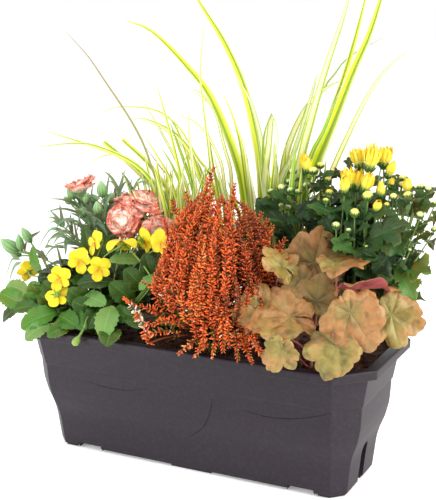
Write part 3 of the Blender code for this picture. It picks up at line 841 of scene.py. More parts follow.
def grow_leaf(growth, base, tip, face, width, shape, rows, cols, arch, fold, wave, teeth, bite,
              tone, phase, waves=3.0, groove=0.05, droop=0.0, sweep=0.0):
    """One leaf blade from base to tip. shape gives its half width from 0 to 1 along it."""
    base, tip = np.array(base, float), np.array(tip, float)
    length = np.linalg.norm(tip - base)
    across, along, out = axes(tip - base, face)
    v = np.linspace(0, 1, rows)
    u = np.linspace(-1, 1, cols)
    half = width / 2 * shape(v)
    spine = base + np.outer(v * length, along) + np.outer(arch * length * 4 * v * (1 - v), out)
    spine[:, 2] -= droop * length * v**2
    v2, u2 = np.meshgrid(v, u, indexing="ij")
    reach = half[:, None] * u2
    notch = np.abs(np.sin(v2 * math.pi * teeth))
    reach = reach * (1 + bite * (notch * 2 - 1) * np.abs(u2) ** 4 * (1 - v2**8))
    lift = fold * np.abs(reach) * (1 - 0.35 * np.abs(u2))
    lift = lift - groove * half[:, None] * np.exp(-((u2 / 0.16) ** 2))
    lift = lift + wave * width * u2**2 * np.sin(2 * math.pi * waves * v2 + phase + 1.3 * u2)
    grid = spine[:, None] + reach[..., None] * across + lift[..., None] * out
    ahead = sweep * width * np.abs(u2) ** 1.5 * half[:, None] / max(half.max(), 1e-6) * (1 - v2**6)
    growth.sheet(grid + ahead[..., None] * along, u2, v2, tone, 0, under=1)


def ovate(v):
    """Half width of an egg-shaped leaf with a blunt tip."""
    wide = (1 - np.abs(2 * np.clip(v, 0, 1) ** 0.9 - 1) ** 2.3) ** 0.58
    return wide * (0.55 + 0.45 * np.clip(v / 0.3, 0, 1)) + 0.015


def lance(v):
    """Half width of a narrow leaf with a long point."""
    return np.clip(v / 0.18, 0, 1) ** 0.5 * (1 - v) ** 0.62 * 1.15 + 0.012


# ---- viola ------------------------------------------------------------------------------

VIOLA_CROWN = mm((-128, -29, 127))
# Leaf base, leaf tip, the way it faces, its width, tone from dark 0 to light 1. Low tones are
# partly painted shade: the leaves at the back and in the gap by the heather lie in shadow.
VIOLA_LEAVES = (
    ((-84, -18, 212), (-75, -26, 184), (0.1, -0.9, 0.4), 21, 0.15),
    ((-60, -14, 222), (-66, -24, 198), (0.3, -0.9, 0.3), 20, 0.05),
    ((-78, -8, 214), (-60, -14, 226), (0.1, -0.8, 0.6), 17, 0.2),
    ((-52, -20, 196), (-60, -32, 176), (0.2, -0.8, 0.5), 19, 0.1),
    ((-92, -10, 200), (-74, -16, 206), (0.1, -0.8, 0.6), 18, 0.0),
    ((-205, -30, 160), (-244, -20, 162), (-0.1, 0.7, -0.6), 18, 0.7),
    ((-204, -36, 147), (-246, -30, 156), (0.1, -0.8, 0.5), 19, 0.85),
    ((-205, -38, 150), (-238, -38, 127), (-0.3, -0.8, 0.5), 15, 0.15),
    ((-149, -58, 154), (-180, -82, 139), (0.2, -0.5, 0.8), 24, 0.85),
    ((-148, -74, 146), (-168, -92, 131), (-0.1, 0.5, -0.7), 19, 0.6),
    ((-142, -66, 153), (-111, -78, 148), (0.3, -0.7, 0.6), 20, 0.55),
    ((-124, -72, 148), (-139, -93, 139), (0.2, -0.8, 0.5), 15, 0.5),
    ((-158, -45, 146), (-190, -57, 149), (-0.2, -0.5, 0.8), 18, 0.4),
    ((-121, -44, 162), (-133, -60, 182), (0.3, -0.8, 0.3), 20, 0.45),
    ((-103, -50, 158), (-125, -66, 171), (0.2, -0.9, 0.3), 19, 0.3),
    ((-122, -50, 172), (-86, -62, 171), (0.1, 0.5, -0.6), 17, 0.7),
    ((-81, -60, 170), (-72, -92, 146), (-0.3, 0.8, -0.3), 21, 0.8),
    ((-86, -52, 160), (-52, -66, 160), (0.3, -0.7, 0.5), 17, 0.35),
    ((-70, -74, 152), (-64, -99, 141), (0.3, -0.8, 0.5), 20, 0.35),
    ((-100, -54, 164), (-101, -76, 147), (0.3, -0.9, 0.2), 18, 0.3),
    ((-131, -56, 157), (-101, -78, 147), (0.1, -0.8, 0.5), 16, 0.55),
    ((-172, -12, 186), (-196, -27, 175), (-0.3, -0.8, 0.5), 16, 0.2),
    ((-131, -15, 204), (-141, -13, 238), (0.3, -0.9, 0.2), 12, 0.25),
    ((-123, -15, 202), (-112, -12, 230), (0.3, -0.9, 0.1), 12, 0.35),
    ((-60, -34, 212), (-90, -47, 214), (0.0, 0.5, -0.8), 15, 0.7),
    ((-56, -34, 184), (-70, -49, 208), (0.3, -0.9, 0.3), 19, 0.35),
    ((-46, -32, 196), (-53, -38, 223), (0.4, -0.9, 0.2), 15, 0.2),
    ((-38, -38, 202), (-51, -54, 188), (0.2, 0.5, -0.6), 14, 0.65),
    ((-87, -42, 189), (-124, -57, 187), (0.0, -0.7, 0.7), 17, 0.15),
    ((-68, -36, 170), (-87, -52, 192), (0.3, -0.9, 0.3), 20, 0.4),
    ((-63, -56, 165), (-37, -73, 156), (0.4, -0.8, 0.4), 17, 0.3),
    ((-194, -20, 180), (-215, -7, 207), (-0.2, -0.9, 0.2), 13, 0.8),
    ((-160, -42, 156), (-174, -57, 170), (0.1, -0.9, 0.4), 19, 0.5),
    ((-185, -42, 150), (-213, -50, 146), (0.0, -0.6, 0.8), 17, 0.45),
    ((-150, -48, 168), (-165, -60, 186), (0.2, -0.9, 0.3), 17, 0.35),
    ((-72, -8, 180), (-62, -12, 208), (0.3, -0.9, 0.2), 21, 0.1),
    ((-66, -4, 150), (-54, -8, 172), (0.3, -0.9, 0.3), 22, 0.0),
    ((-52, -6, 146), (-40, -10, 168), (0.3, -0.9, 0.3), 22, 0.05),
    ((-80, -6, 168), (-72, -8, 194), (0.3, -0.9, 0.2), 22, 0.1),
    ((-190, -24, 152), (-203, -30, 174), (0.1, -0.9, 0.4), 19, 0.85),
    ((-117, -20, 160), (-114, -20, 188), (0.3, -0.9, 0.3), 22, 0.1),
    ((-76, -15, 156), (-70, -15, 184), (0.3, -0.9, 0.3), 22, 0.05),
    ((-184, -20, 154), (-190, -22, 182), (0.3, -0.9, 0.3), 17, 0.5),
    ((-192, -32, 146), (-204, -40, 163), (0.1, -0.8, 0.5), 17, 0.7),
)
# Flower centre, the way it faces, the way up of its face, radius.
VIOLA_FLOWERS = (
    ((-222, -8, 178), (-0.65, 0.6, 0.3), (0.3, 0.0, 1.0), 13.5),
    ((-145, -58, 191), (0.35, -0.9, 0.25), (0.35, 0.1, 1.0), 13.5),
    ((-127, -46, 209), (0.35, -0.9, 0.35), (-0.3, 0.1, 1.0), 13.5),
    ((-99, -52, 205), (0.55, -0.8, 0.25), (0.25, 0.1, 1.0), 13.0),
    ((-144, -64, 174), (-0.35, 0.4, -0.75), (-0.5, -0.5, -0.5), 13.0),
    ((-115, -33, 227), (-0.45, -0.85, 0.25), (0.1, 0.1, 1.0), 13.5),
    ((-78, -38, 233), (-0.08, 0.42, 0.8), (0.2, 0.9, 0.0), 20.0),
    ((-63, -20, 231), (0.25, 0.75, -0.25), (0.2, 0.1, 1.0), 13.0),
    ((-37, -31, 234), (-0.45, -0.5, 0.6), (-0.5, -0.1, 0.6), 13.5),
)
VIOLA_POD = ((-100, -83, 150), (-107, -93, 134))
# Two bare stems under the flowers on the right: foot and top.
VIOLA_RUNNERS = (((-100, -34, 150), (-78, -40, 227)), ((-30, -44, 150), (-74, -38, 228)))
# The leaves that fill the plant: how many, and the middle and half size of the mound they lie in.
VIOLA_FILLERS = 74
VIOLA_MIDDLE, VIOLA_REACH = mm((-131, -22, 150)), mm((92, 56, 62))
# Petals: turn, length, width, how deep a gold, phase, how far in front of the flower's middle.
VIOLA_PETALS = ((30, 1.08, 0.98, 0.0, 0.0, -0.0012), (-36, 1.02, 0.96, 0.0, 0.3, -0.0018),
                (101, 0.95, 0.70, 0.35, 0.9, 0.0002), (-101, 0.95, 0.70, 0.35, 1.4, 0.0002),
                (180, 1.06, 0.86, 0.8, 2.1, 0.0012))
SEPALS = 5


def petal(growth, centre, along, face, length, width, shape, tone, slot, cup, ruffle, rows, cols,
          phase=0.0, curl=0.0, mark=(0.0, 0.0, 0.0), fine=0, bite=0.0, start=0.0):
    """One petal that leaves centre along one way and faces another."""
    across, along, out = axes(along, face)
    v = 1 - (1 - np.linspace(0, 1, rows)) ** 1.8
    u = np.sin(math.pi / 2 * np.linspace(-1, 1, cols)) * 0.35 + np.linspace(-1, 1, cols) * 0.65
    v2, u2 = np.meshgrid(v, u, indexing="ij")
    half = width / 2 * shape(v2)
    run = length * (start + (1 - start) * v2) * (1 - 0.06 * u2**2 * v2**2)
    if fine:
        run = run * (1 - bite * (0.5 - 0.5 * np.cos(math.pi * fine * u2)) * v2**6)
    lift = cup * length * (v2**1.5 + 0.4 * u2**2) - curl * length * v2**3
    lift = lift + ruffle * length * v2**2 * np.sin(6.2 * u2 + phase)
    lift = lift + ruffle * length * v2**3 * np.sin(12.6 * u2 + 2 * phase)
    grid = np.array(centre, float) + run[..., None] * along + (half * u2)[..., None] * across
    grid = grid + lift[..., None] * out
    growth.sheet(grid, u2, v2, tone, slot, thickness=0.0003,
                 mark=np.broadcast_to(mark, (rows, cols, 3)))


def fan(v):
    """Half width of a petal that widens from its claw to a round end."""
    rising = 0.12 + 0.88 * np.sin(math.pi / 2 * np.clip(v / 0.58, 0, 1)) ** 1.25
    return rising * np.sqrt(np.clip(1 - np.clip((v - 0.58) / 0.42, 0, 1) ** 2.4, 0.012, 1))


def round_lobe(v):
    """Half width of a viola petal: a short claw and an almost round blade."""
    rising = 0.16 + 0.84 * np.sin(math.pi / 2 * np.clip(v / 0.6, 0, 1)) ** 1.1
    return rising * np.sqrt(np.clip(1 - np.clip((v - 0.6) / 0.4, 0, 1) ** 2.0, 0.004, 1))


def viola_flower(growth, centre, facing, upright, radius, seed, curl):
    """Five petals, five sepals and a spur. Returns where its stalk joins it."""
    rng = np.random.default_rng(seed)
    right, up, out = axes(upright, facing)
    for turn, reach, wide, deep, lag, forward in VIOLA_PETALS:
        upper, lowest = abs(turn) < 90, turn == 180
        way = turned(math.radians(turn + rng.uniform(-6, 6)), up, right)
        petal(growth, centre + out * forward, way + (-0.02 if upper else 0.1) * out, out,
              radius * reach, radius * wide, round_lobe, rng.uniform(0.2, 0.9), 0,
              cup=0.15 if lowest else 0.10, ruffle=0.022, rows=14, cols=11,
              phase=lag + rng.uniform(0, 3), curl=curl, mark=(deep, 0.0, 0.0))
    for k in range(SEPALS):
        way = turned(math.radians(72 * k + 36), up, right)
        petal(growth, centre - out * 0.0022, way * 0.9 - 0.45 * out, -out, radius * 0.62,
              radius * 0.2, lance, rng.uniform(0.3, 0.8), 1, cup=0.1, ruffle=0.0, rows=6, cols=5)
    spur = bow(centre - out * 0.001, -out - 0.2 * up, centre - out * 0.0065 + up * 0.001, 6)
    growth.tube(spur, [0.0016, 0.0016, 0.0015, 0.0013, 0.0012, 0.0009], sides=8, slot=1, tone=0.9)
    return centre - out * 0.002


def yellow_petal_look():
    look = Look("viola_petal", Subsurface_Weight=0.3, Subsurface_Scale=0.004)
    across, along, tone = look.place(0), look.place(1), look.place(2)
    deep = look.split("mark", 0)
    base = look.mix(look.times(deep, 0.6), "f4d800", "efc400")
    base = look.mix(look.ramp(tone, (0.3, 0.0), (1.0, 0.3)), base, "fbe83c")
    throat = look.ramp(along, (0.1, 1.0), (0.6, 0.0))
    base = look.mix(look.times(throat, deep), base, "e08c00")
    streak = look.ramp(look.stripes(across, 4.0), (0.0, 1.0), (0.12, 0.0))
    streak = look.times(streak, look.ramp(along, (0.12, 1.0), (0.42, 0.0)))
    base = look.mix(look.times(streak, deep), base, "3a1d08")
    look.paint(base)
    look.rough(look.noise(300.0), 0.5, 0.65)
    look.bump(look.noise(500.0, 2.0, look.here(1.0, 1.0, 3.0)), 0.0003, 0.35)
    return look.material


def make_viola():
    rng = np.random.default_rng(41)
    face = leaf_look("viola_leaf", "0a2006", "42791a", "6f983a", sheen=0.34)
    back = leaf_look("viola_leaf_back", "335c2a", "6d974b", "8fae6c", sheen=0.5)
    stem = stem_look("viola_stem", "6d8a3c", "8fb24c")
    growth = Growth()

    def stalk(base):
        away = base - VIOLA_CROWN
        foot = foot_near(rng, VIOLA_CROWN, 0.008, 0.008) + [0, 0, rng.uniform(-0.004, 0)]
        path = bow(foot, (away[0] * 4, away[1] * 4, 0.16), base, 9)
        growth.tube(path, np.linspace(0.0010, 0.0007, 9), sides=6, slot=2,
                    tone=rng.uniform(0.2, 0.9))

    for base, tip, way, width, tone in VIOLA_LEAVES:
        seen_from_behind = way[1] > 0
        grow_leaf(growth, mm(base), mm(tip), way, width * 0.00108, ovate, rows=26, cols=7,
                  arch=-0.10 if seen_from_behind else 0.10, fold=-0.12 if seen_from_behind else 0.3,
                  wave=0.03, teeth=7, bite=0.1, tone=tone, phase=rng.uniform(0, 6))
        stalk(mm(base))
    for foot, top in VIOLA_RUNNERS:
        growth.tube(bow(mm(foot), (0.1, 0.0, 1.0), mm(top), 12), np.linspace(0.0011, 0.0008, 12),
                    sides=6, slot=2, tone=1.0)
    placed = 0
    while placed < VIOLA_FILLERS:
        out = outward(rng.uniform(0, 2 * math.pi), rng.uniform(-0.05, 1.2))
        tip = VIOLA_MIDDLE + out * VIOLA_REACH * rng.uniform(0.62, 0.98)
        # Nothing hangs over the lip at the front and the left end but the listed leaves.
        if tip[2] < 0.146 and (tip[1] < -0.06 or tip[0] < -0.18):
            continue
        # The heather on the right and the dianthus behind keep their room.
        if tip[0] > -0.055 or (tip[1] > 0.02 and tip[2] > 0.185) or tip[1] > 0.034:
            continue
        length = rng.uniform(0.024, 0.034)
        lean = unit(out * [1, 1, rng.uniform(-0.6, 0.5)] + [0, 0, 0.2])
        base = tip - lean * length
        grow_leaf(growth, base, tip, out + [0, 0, 0.9], rng.uniform(0.015, 0.021), ovate, rows=20,
                  cols=7, arch=rng.uniform(0.05, 0.14), fold=rng.uniform(0.1, 0.4), wave=0.025,
                  teeth=6, bite=0.1, tone=rng.uniform(0.0, 0.75) ** 1.2, phase=rng.uniform(0, 6))
        stalk(base)
        placed += 1
    pod_top, pod_tip = (mm(p) for p in VIOLA_POD)
    growth.tube(bow(mm((-104, -60, 158)), (0, -1, 0.3), pod_top, 8), 0.0008, slot=2, tone=0.6)
    t = np.linspace(0, 1, 14)
    swell = np.interp(t, (0, 0.45, 0.62, 0.8, 0.95, 1),
                      (0.0006, 0.0008, 0.0028, 0.0036, 0.0026, 0.0004))
    growth.tube(pod_top + np.outer(t, pod_tip - pod_top), 0.0005 + swell, sides=12, slot=2,
                tone=0.8)
    growth.build("viola_leaves", [face, back, stem], "leaf", ["viola_foliage"])
    petals = yellow_petal_look()
    sepal = leaf_look("viola_sepal", "3d6b1e", "86b53f", "9cc35c")
    for number, (centre, facing, upright, radius) in enumerate(VIOLA_FLOWERS, 1):
        growth = Growth()
        back_of_it = viola_flower(growth, mm(centre), facing, upright, radius / 1000, 60 + number,
                                  curl=0.62 if number == 7 else 0.14)
        away = unit(np.array(facing, float) * [-1, -1, 0] + [0, 0, 0.5])
        neck = back_of_it + away * 0.007
        foot = foot_near(rng, VIOLA_CROWN, 0.03, 0.015, 0.012)
        stemline = through([foot, foot * 0.45 + neck * 0.55 + [0, 0, 0.012],
                            neck - [0, 0, 0.006], neck, back_of_it], 22)
        growth.tube(stemline, np.linspace(0.0011, 0.0008, 22), sides=7, slot=2, tone=0.7)
        nodes = [f"viola_flower_{number}"] if number < 9 else []
        growth.build(f"viola_bloom_{number}", [petals, sepal, stem], "yellow_petal", nodes)


# ---- narrow leaves and blades -----------------------------------------------------------

# Across the camera's view, so that a blade shows its face.
RIGHTWARD = (0.89, 0.46, 0.0)
BUD_PROFILE = ((0, 0.3), (0.08, 0.62), (0.22, 0.92), (0.42, 1.0), (0.65, 0.8), (0.85, 0.4),
               (0.96, 0.14), (1, 0.03))


def strap(v):
    """Half width of a grass blade: even for most of its length, then a long point."""
    return (1 - v**2.8) ** 0.75 * (0.7 + 0.3 * np.clip(v * 3, 0, 1)) + 0.01


def cut_strap(v):
    """Half width of a blade that was trimmed."""
    return (1 - 0.35 * v**2) * (0.7 + 0.3 * np.clip(v * 3, 0, 1))


def grow_blade(growth, points, width, shape, hint, rows, cols, fold, tone, slot, under=None,
               twist=0.0, flip=1.0, thickness=0.0004):
    """A long leaf that follows a curve. hint is the way across it."""
    path = through(points, rows)
    _, side, face = travel(path, hint)
    v = np.linspace(0, 1, rows)
    angle = twist * v[:, None]
    across = np.cos(angle) * side + np.sin(angle) * face
    out = np.cos(angle) * face - np.sin(angle) * side
    v2, u2 = np.meshgrid(v, np.linspace(-1, 1, cols), indexing="ij")
    reach = (width / 2 * shape(v))[:, None] * u2
    grid = path[:, None] + reach[..., None] * across[:, None]
    grid = grid + (fold * np.abs(reach))[..., None] * out[:, None]
    growth.sheet(grid, u2 * flip, v2, tone, slot, thickness=thickness, under=under)


def bulb(growth, base, tip, radius, tone, slot=0, sides=12, steps=14, profile=BUD_PROFILE):
    """A plump closed bud, from its base to its tip. profile gives its thickness along it."""
    t = np.linspace(0, 1, steps)
    at, size = np.transpose(profile)
    path = np.array(base) + t[:, None] * (np.array(tip) - np.array(base))
    growth.tube(path, radius * np.interp(t, at, size), sides=sides, slot=slot, tone=tone)


# ---- dianthus ---------------------------------------------------------------------------

DIANTHUS_CROWN = mm((-135, 31, 125))
# Flower centre, the way it faces, radius.
DIANTHUS_FLOWERS = (
    ((-172, 30, 262), (-0.32, -0.42, 0.82), 22.5),
    ((-96, -5, 246), (0.25, -0.92, 0.4), 20.0),
    ((-83, 16, 259), (0.35, -0.45, 0.82), 22.0),
    ((-61, 4, 236), (0.6, -0.75, 0.1), 19.0),
    ((-122, 33, 257), (-0.25, -0.5, 0.8), 16.0),
)
# Bud base, bud tip and its radius.
DIANTHUS_BUDS = (
    ((-256, 20, 190), (-280, 20, 203), 6.8),
    ((-135, 15, 264), (-136, 15, 283), 5.0),
    ((-176, 20, 258), (-182, 20, 272), 4.4),
    ((-175, 25, 258), (-173, 25, 267), 2.8),
    ((-183, 25, 251), (-192, 25, 259), 3.6),
    ((-160, 20, 254), (-156, 20, 267), 4.2),
    ((-155, 20, 261), (-142, 20, 261), 3.8),
    ((-136, 25, 257), (-126, 25, 268), 4.2),
    ((-131, 0, 249), (-133, 0, 263), 4.8),
    ((-160, 20, 241), (-166, 20, 251), 4.2),
    ((-251, 20, 192), (-254, 20, 212), 4.4),
    ((-237, 20, 203), (-249, 20, 220), 4.8),
    ((-259, 28, 183), (-275, 28, 188), 4.8),
    ((-148, 62, 246), (-152, 70, 260), 4.4),
    ((-190, 55, 232), (-200, 60, 245), 4.4),
    ((-118, 66, 238), (-114, 72, 253), 4.2),
)
# Leaves seen one by one: base, tip, and how far they sag.
DIANTHUS_LEAVES = (
    ((-187, 15, 226), (-210, 14, 236), 4), ((-187, 15, 226), (-190, 13, 253), -2),
    ((-185, 12, 226), (-212, 12, 222), 8), ((-187, 14, 226), (-200, 8, 246), 2),
    ((-181, 8, 221), (-162, 2, 243), 4), ((-174, 2, 222), (-212, -2, 203), 14),
    ((-180, 10, 217), (-211, 8, 200), 9), ((-187, 20, 214), (-207, 20, 203), 5),
    ((-175, 2, 219), (-178, 0, 198), -6), ((-252, 20, 181), (-276, 18, 152), 13),
    ((-245, 12, 181), (-262, 8, 156), 7), ((-243, 28, 206), (-229, 30, 215), 0),
    ((-250, 25, 190), (-243, 22, 206), 0), ((-232, 20, 192), (-222, 20, 186), 3),
    ((-221, 25, 198), (-208, 25, 200), 0), ((-223, 20, 196), (-214, 20, 173), -4),
    ((-129, 40, 264), (-147, 38, 288), 5), ((-131, 45, 262), (-150, 45, 274), 6),
    ((-129, 40, 264), (-121, 40, 291), 0), ((-126, 40, 268), (-113, 38, 277), 5),
    ((-115, 45, 264), (-129, 44, 288), 3), ((-115, 45, 264), (-100, 44, 285), 4),
    ((-112, 40, 268), (-90, 40, 277), 6), ((-115, 45, 264), (-120, 45, 279), 0),
    ((-129, 30, 256), (-128, 30, 274), 0), ((-150, 8, 226), (-176, -4, 238), 6),
    ((-150, 8, 222), (-130, -8, 240), 6), ((-163, 6, 236), (-190, -2, 224), 8),
    ((-166, 6, 210), (-196, -8, 214), 8), ((-140, 4, 236), (-116, -6, 226), 6),
    ((-160, 2, 228), (-148, -10, 248), 2), ((-178, 4, 206), (-204, -6, 190), 8),
)
# Rings of petals: how many, how long, how high they start and how far they stand up.
DIANTHUS_RINGS = ((6, 1.02, 0.0, 0.04), (5, 0.84, 0.07, 0.26), (4, 0.66, 0.12, 0.5),
                  (3, 0.42, 0.16, 0.8))
CALYX_PROFILE = ((0, 0.35), (0.1, 0.8), (0.5, 0.95), (0.85, 1.1), (1, 1.2))
# Tops of the leafy stems, and the joint on the left that carries the three buds out there.
DIANTHUS_TOPS = ((-187, 15, 226), (-129, 40, 264), (-115, 45, 265), (-175, 1, 222), (-160, 50, 236),
                 (-135, 60, 240), (-180, 40, 225), (-110, 55, 235), (-148, 4, 238), (-150, 30, 246),
                 (-196, 40, 206), (-128, 8, 240), (-90, 50, 232))
DIANTHUS_JOINT = mm((-226, 22, 186))
STALK_POINTS = 24


def dianthus_flower(growth, centre, facing, radius, seed, cup):
    """Rings of toothed petals over a green tube. Returns the tube's lower end."""
    rng = np.random.default_rng(seed)
    right, up, out = axes((0.1, 0.25, 1.0) if abs(facing[2]) < 0.7 else (0.2, 1.0, 0.1), facing)
    for ring, (count, reach, lift, tilt) in enumerate(DIANTHUS_RINGS):
        for k in range(count):
            a = 2 * math.pi * (k + rng.uniform(-0.35, 0.35)) / count + 0.7 * ring
            lean = tilt + cup + rng.uniform(-0.2, 0.2)
            way = turned(a, up, right)
            face = unit(out * math.cos(lean) - way * math.sin(lean) + rng.normal(0, 0.12, 3))
            size = radius * reach * rng.uniform(0.78, 1.14)
            petal(growth, centre + out * radius * lift, turned(lean, way, out), face, size,
                  size * rng.uniform(1.1, 1.45), fan, rng.uniform(0, 1), 0, cup=0.1, ruffle=0.1,
                  rows=11, cols=13, phase=rng.uniform(0, 6), curl=0.16, fine=5, bite=0.16,
                  start=0.04, mark=(reach, 0.0, 0.0))
    foot = centre - out * radius * 0.8
    bulb(growth, foot, centre + out * radius * 0.06, radius * 0.23, 0.5, slot=1,
         profile=CALYX_PROFILE)
    return foot


def streaky_petal_look():
    """Coral margins that run inwards as streaks over a white and pink heart."""
    look = Look("dianthus_petal", Subsurface_Weight=0.25, Subsurface_Scale=0.004)
    spot = look.node("Attribute", "Vector", attribute_name="place")
    stretched = look.node("Mapping", "Vector", {"Vector": spot, "Scale": (3.2, 0.7, 9.0)})
    streak = look.noise(1.6, 3.0, stretched)
    side = look.math("POWER", look.math("ABSOLUTE", look.place(0)), 4.0)
    reach = look.line(side, 0.12, look.line(look.place(1), 0.6, -0.92))
    reach = look.line(streak, 1.9, reach)
    reach = look.line(look.split("mark", 0), 0.34, look.math("SUBTRACT", reach, 0.2))
    look.paint(look.ramp(reach, (0.22, "fff3ea"), (0.4, "fed4c2"), (0.56, "fbae98"),
                         (0.74, "f78c76"), (0.98, "ee6a58")))
    look.rough(streak, 0.55, 0.7)
    look.bump(streak, 0.0004, 0.4)
    return look.material


def bud_look():
    look = Look("dianthus_bud", Subsurface_Weight=0.15, Subsurface_Scale=0.003)
    ribs = look.stripes(look.place(0), 10.0)
    shade = look.ramp(look.place(1), (0.0, "3f6a2a"), (0.35, "568a3a"), (0.7, "74a363"),
                      (1.0, "9dbd86"))
    pale = look.times(look.ramp(ribs, (0.0, 1.0), (0.5, 0.0)), 0.3)
    look.paint(look.mix(pale, shade, "c4d8ae"))
    look.rough(look.noise(300.0), 0.45, 0.6)
    look.bump(ribs, 0.0003, 0.35)
    return look.material


def make_dianthus():
    rng = np.random.default_rng(51)
    plain = (0.0, 0.0)
    blue = leaf_look("dianthus_leaf", "16341f", "5f8a63", "8fb08c", plain, sheen=0.4)
    back = leaf_look("dianthus_leaf_back", "2c5036", "86a884", "a9c3a2", plain, sheen=0.5)
    stem = stem_look("dianthus_stem", "3c5a2c", "6f9a52")
    bud = bud_look()
    petals = streaky_petal_look()
    growth = Growth()

    def leaf(base, tip, sag, tone, width):
        middle = (base + tip) / 2 + [0, 0, sag / 1000]
        side = np.cross(tip - base, (0.2, -0.6, 0.8))
        grow_blade(growth, [base, middle, tip], width, lance, hint=side, rows=11, cols=5, fold=0.45,
                   tone=tone, slot=0, under=1, twist=rng.uniform(-0.5, 0.5))

    def stalk(top, pairs, lead=(0, 0, 1), start=0.25):
        """A stem with pairs of leaves, each pair at right angles to the one below."""
        foot = foot_near(rng, DIANTHUS_CROWN, 0.009, 0.009)
        path = bow(foot, lead, top, STALK_POINTS)
        growth.tube(path, np.linspace(0.0011 * 1.15, 0.0011 * 0.8, STALK_POINTS), sides=7, slot=2,
                    tone=rng.uniform(0.3, 0.9))
        turn = rng.uniform(0, math.pi)
        last = STALK_POINTS - 1
        for k in range(pairs):
            at = int((start + (0.93 - start) * k / (pairs - 1)) * last)
            spot = path[at]
            ahead = unit(path[min(at + 1, last)] - path[at - 1])
            turn += math.pi / 2 + rng.uniform(-0.3, 0.3)
            side, _, _ = axes(ahead, (1, 0.3, 0.1))
            other = np.cross(ahead, side)
            for half in (0, math.pi):
                way = turned(turn + half, side, other)
                length = rng.uniform(0.024, 0.042)
                tip = spot + unit(way + ahead * rng.uniform(0.5, 1.3) + [0, 0, 0.15]) * length
                tip[1] = min(tip[1], BACK_LIMIT)
                leaf(spot, tip, rng.uniform(1, 6), rng.uniform(0.0, 0.8),
                     rng.uniform(0.0036, 0.0052))

    for base, tip, sag in DIANTHUS_LEAVES:
        leaf(mm(base), mm(tip), sag, rng.uniform(0.3, 1.0), 0.0050)
    for top in DIANTHUS_TOPS:
        stalk(mm(top), 6)
    for base, tip, radius in DIANTHUS_BUDS:
        base, tip = mm(base), mm(tip)
        if base[0] < -0.23:
            lead = base - DIANTHUS_JOINT + [-0.002, 0, 0.004]
            growth.tube(bow(DIANTHUS_JOINT, lead, base, 8), 0.001, sides=7, slot=2, tone=0.7)
        else:
            stalk(base, 5, start=0.35)
        way = unit(tip - base)
        side, _, out = axes(way, (0.4, -0.8, 0.4))
        for k in range(3):
            around = turned(k * 2.1, side, out)
            leaf(base - way * 0.001, base + way * radius * 0.0011 + around * radius * 0.0011, 0.5,
                 rng.uniform(0.2, 0.8), 0.0036)
    stalk(DIANTHUS_JOINT, 5, lead=(-0.6, 0.1, 0.9))
    growth.build("dianthus_leaves", [blue, back, stem], "leaf", ["dianthus_foliage"])
    more = Growth()
    for number, (base, tip, radius) in enumerate(DIANTHUS_BUDS, 1):
        target = Growth() if number < 3 else more
        bulb(target, mm(base), mm(tip), radius * 0.00115, rng.uniform(0.3, 0.8), sides=14, steps=18)
        if number < 3:
            target.build(f"dianthus_closed_bud_{number}", [bud], "bud_green",
                         [f"dianthus_bud_{number}"])
    more.build("dianthus_small_buds", [bud], "bud_green")
    for number, (centre, facing, radius) in enumerate(DIANTHUS_FLOWERS, 1):
        growth = Growth()
        foot = dianthus_flower(growth, mm(centre), facing, radius / 1000, 70 + number,
                               cup=0.6 if number == 1 else 0.05)
        start = foot_near(rng, DIANTHUS_CROWN, 0.006, 0.006, 0.002)
        below = foot - unit(np.array(facing) * [1, 1, 0.4] + [0, 0, 0.4]) * 0.03
        growth.tube(through([start, (start + below) / 2 + [0, 0, 0.01], below, foot], 24), 0.0013,
                    sides=8, slot=1, tone=0.6)
        nodes = [f"dianthus_flower_{number}"] if number < 5 else []
        growth.build(f"dianthus_bloom_{number}", [petals, stem], "coral_petal", nodes)


# ---- grasses ----------------------------------------------------------------------------

FINE_CROWN = mm((-58, 31, 124))
BROAD_CROWN = mm((62, 36, 124))
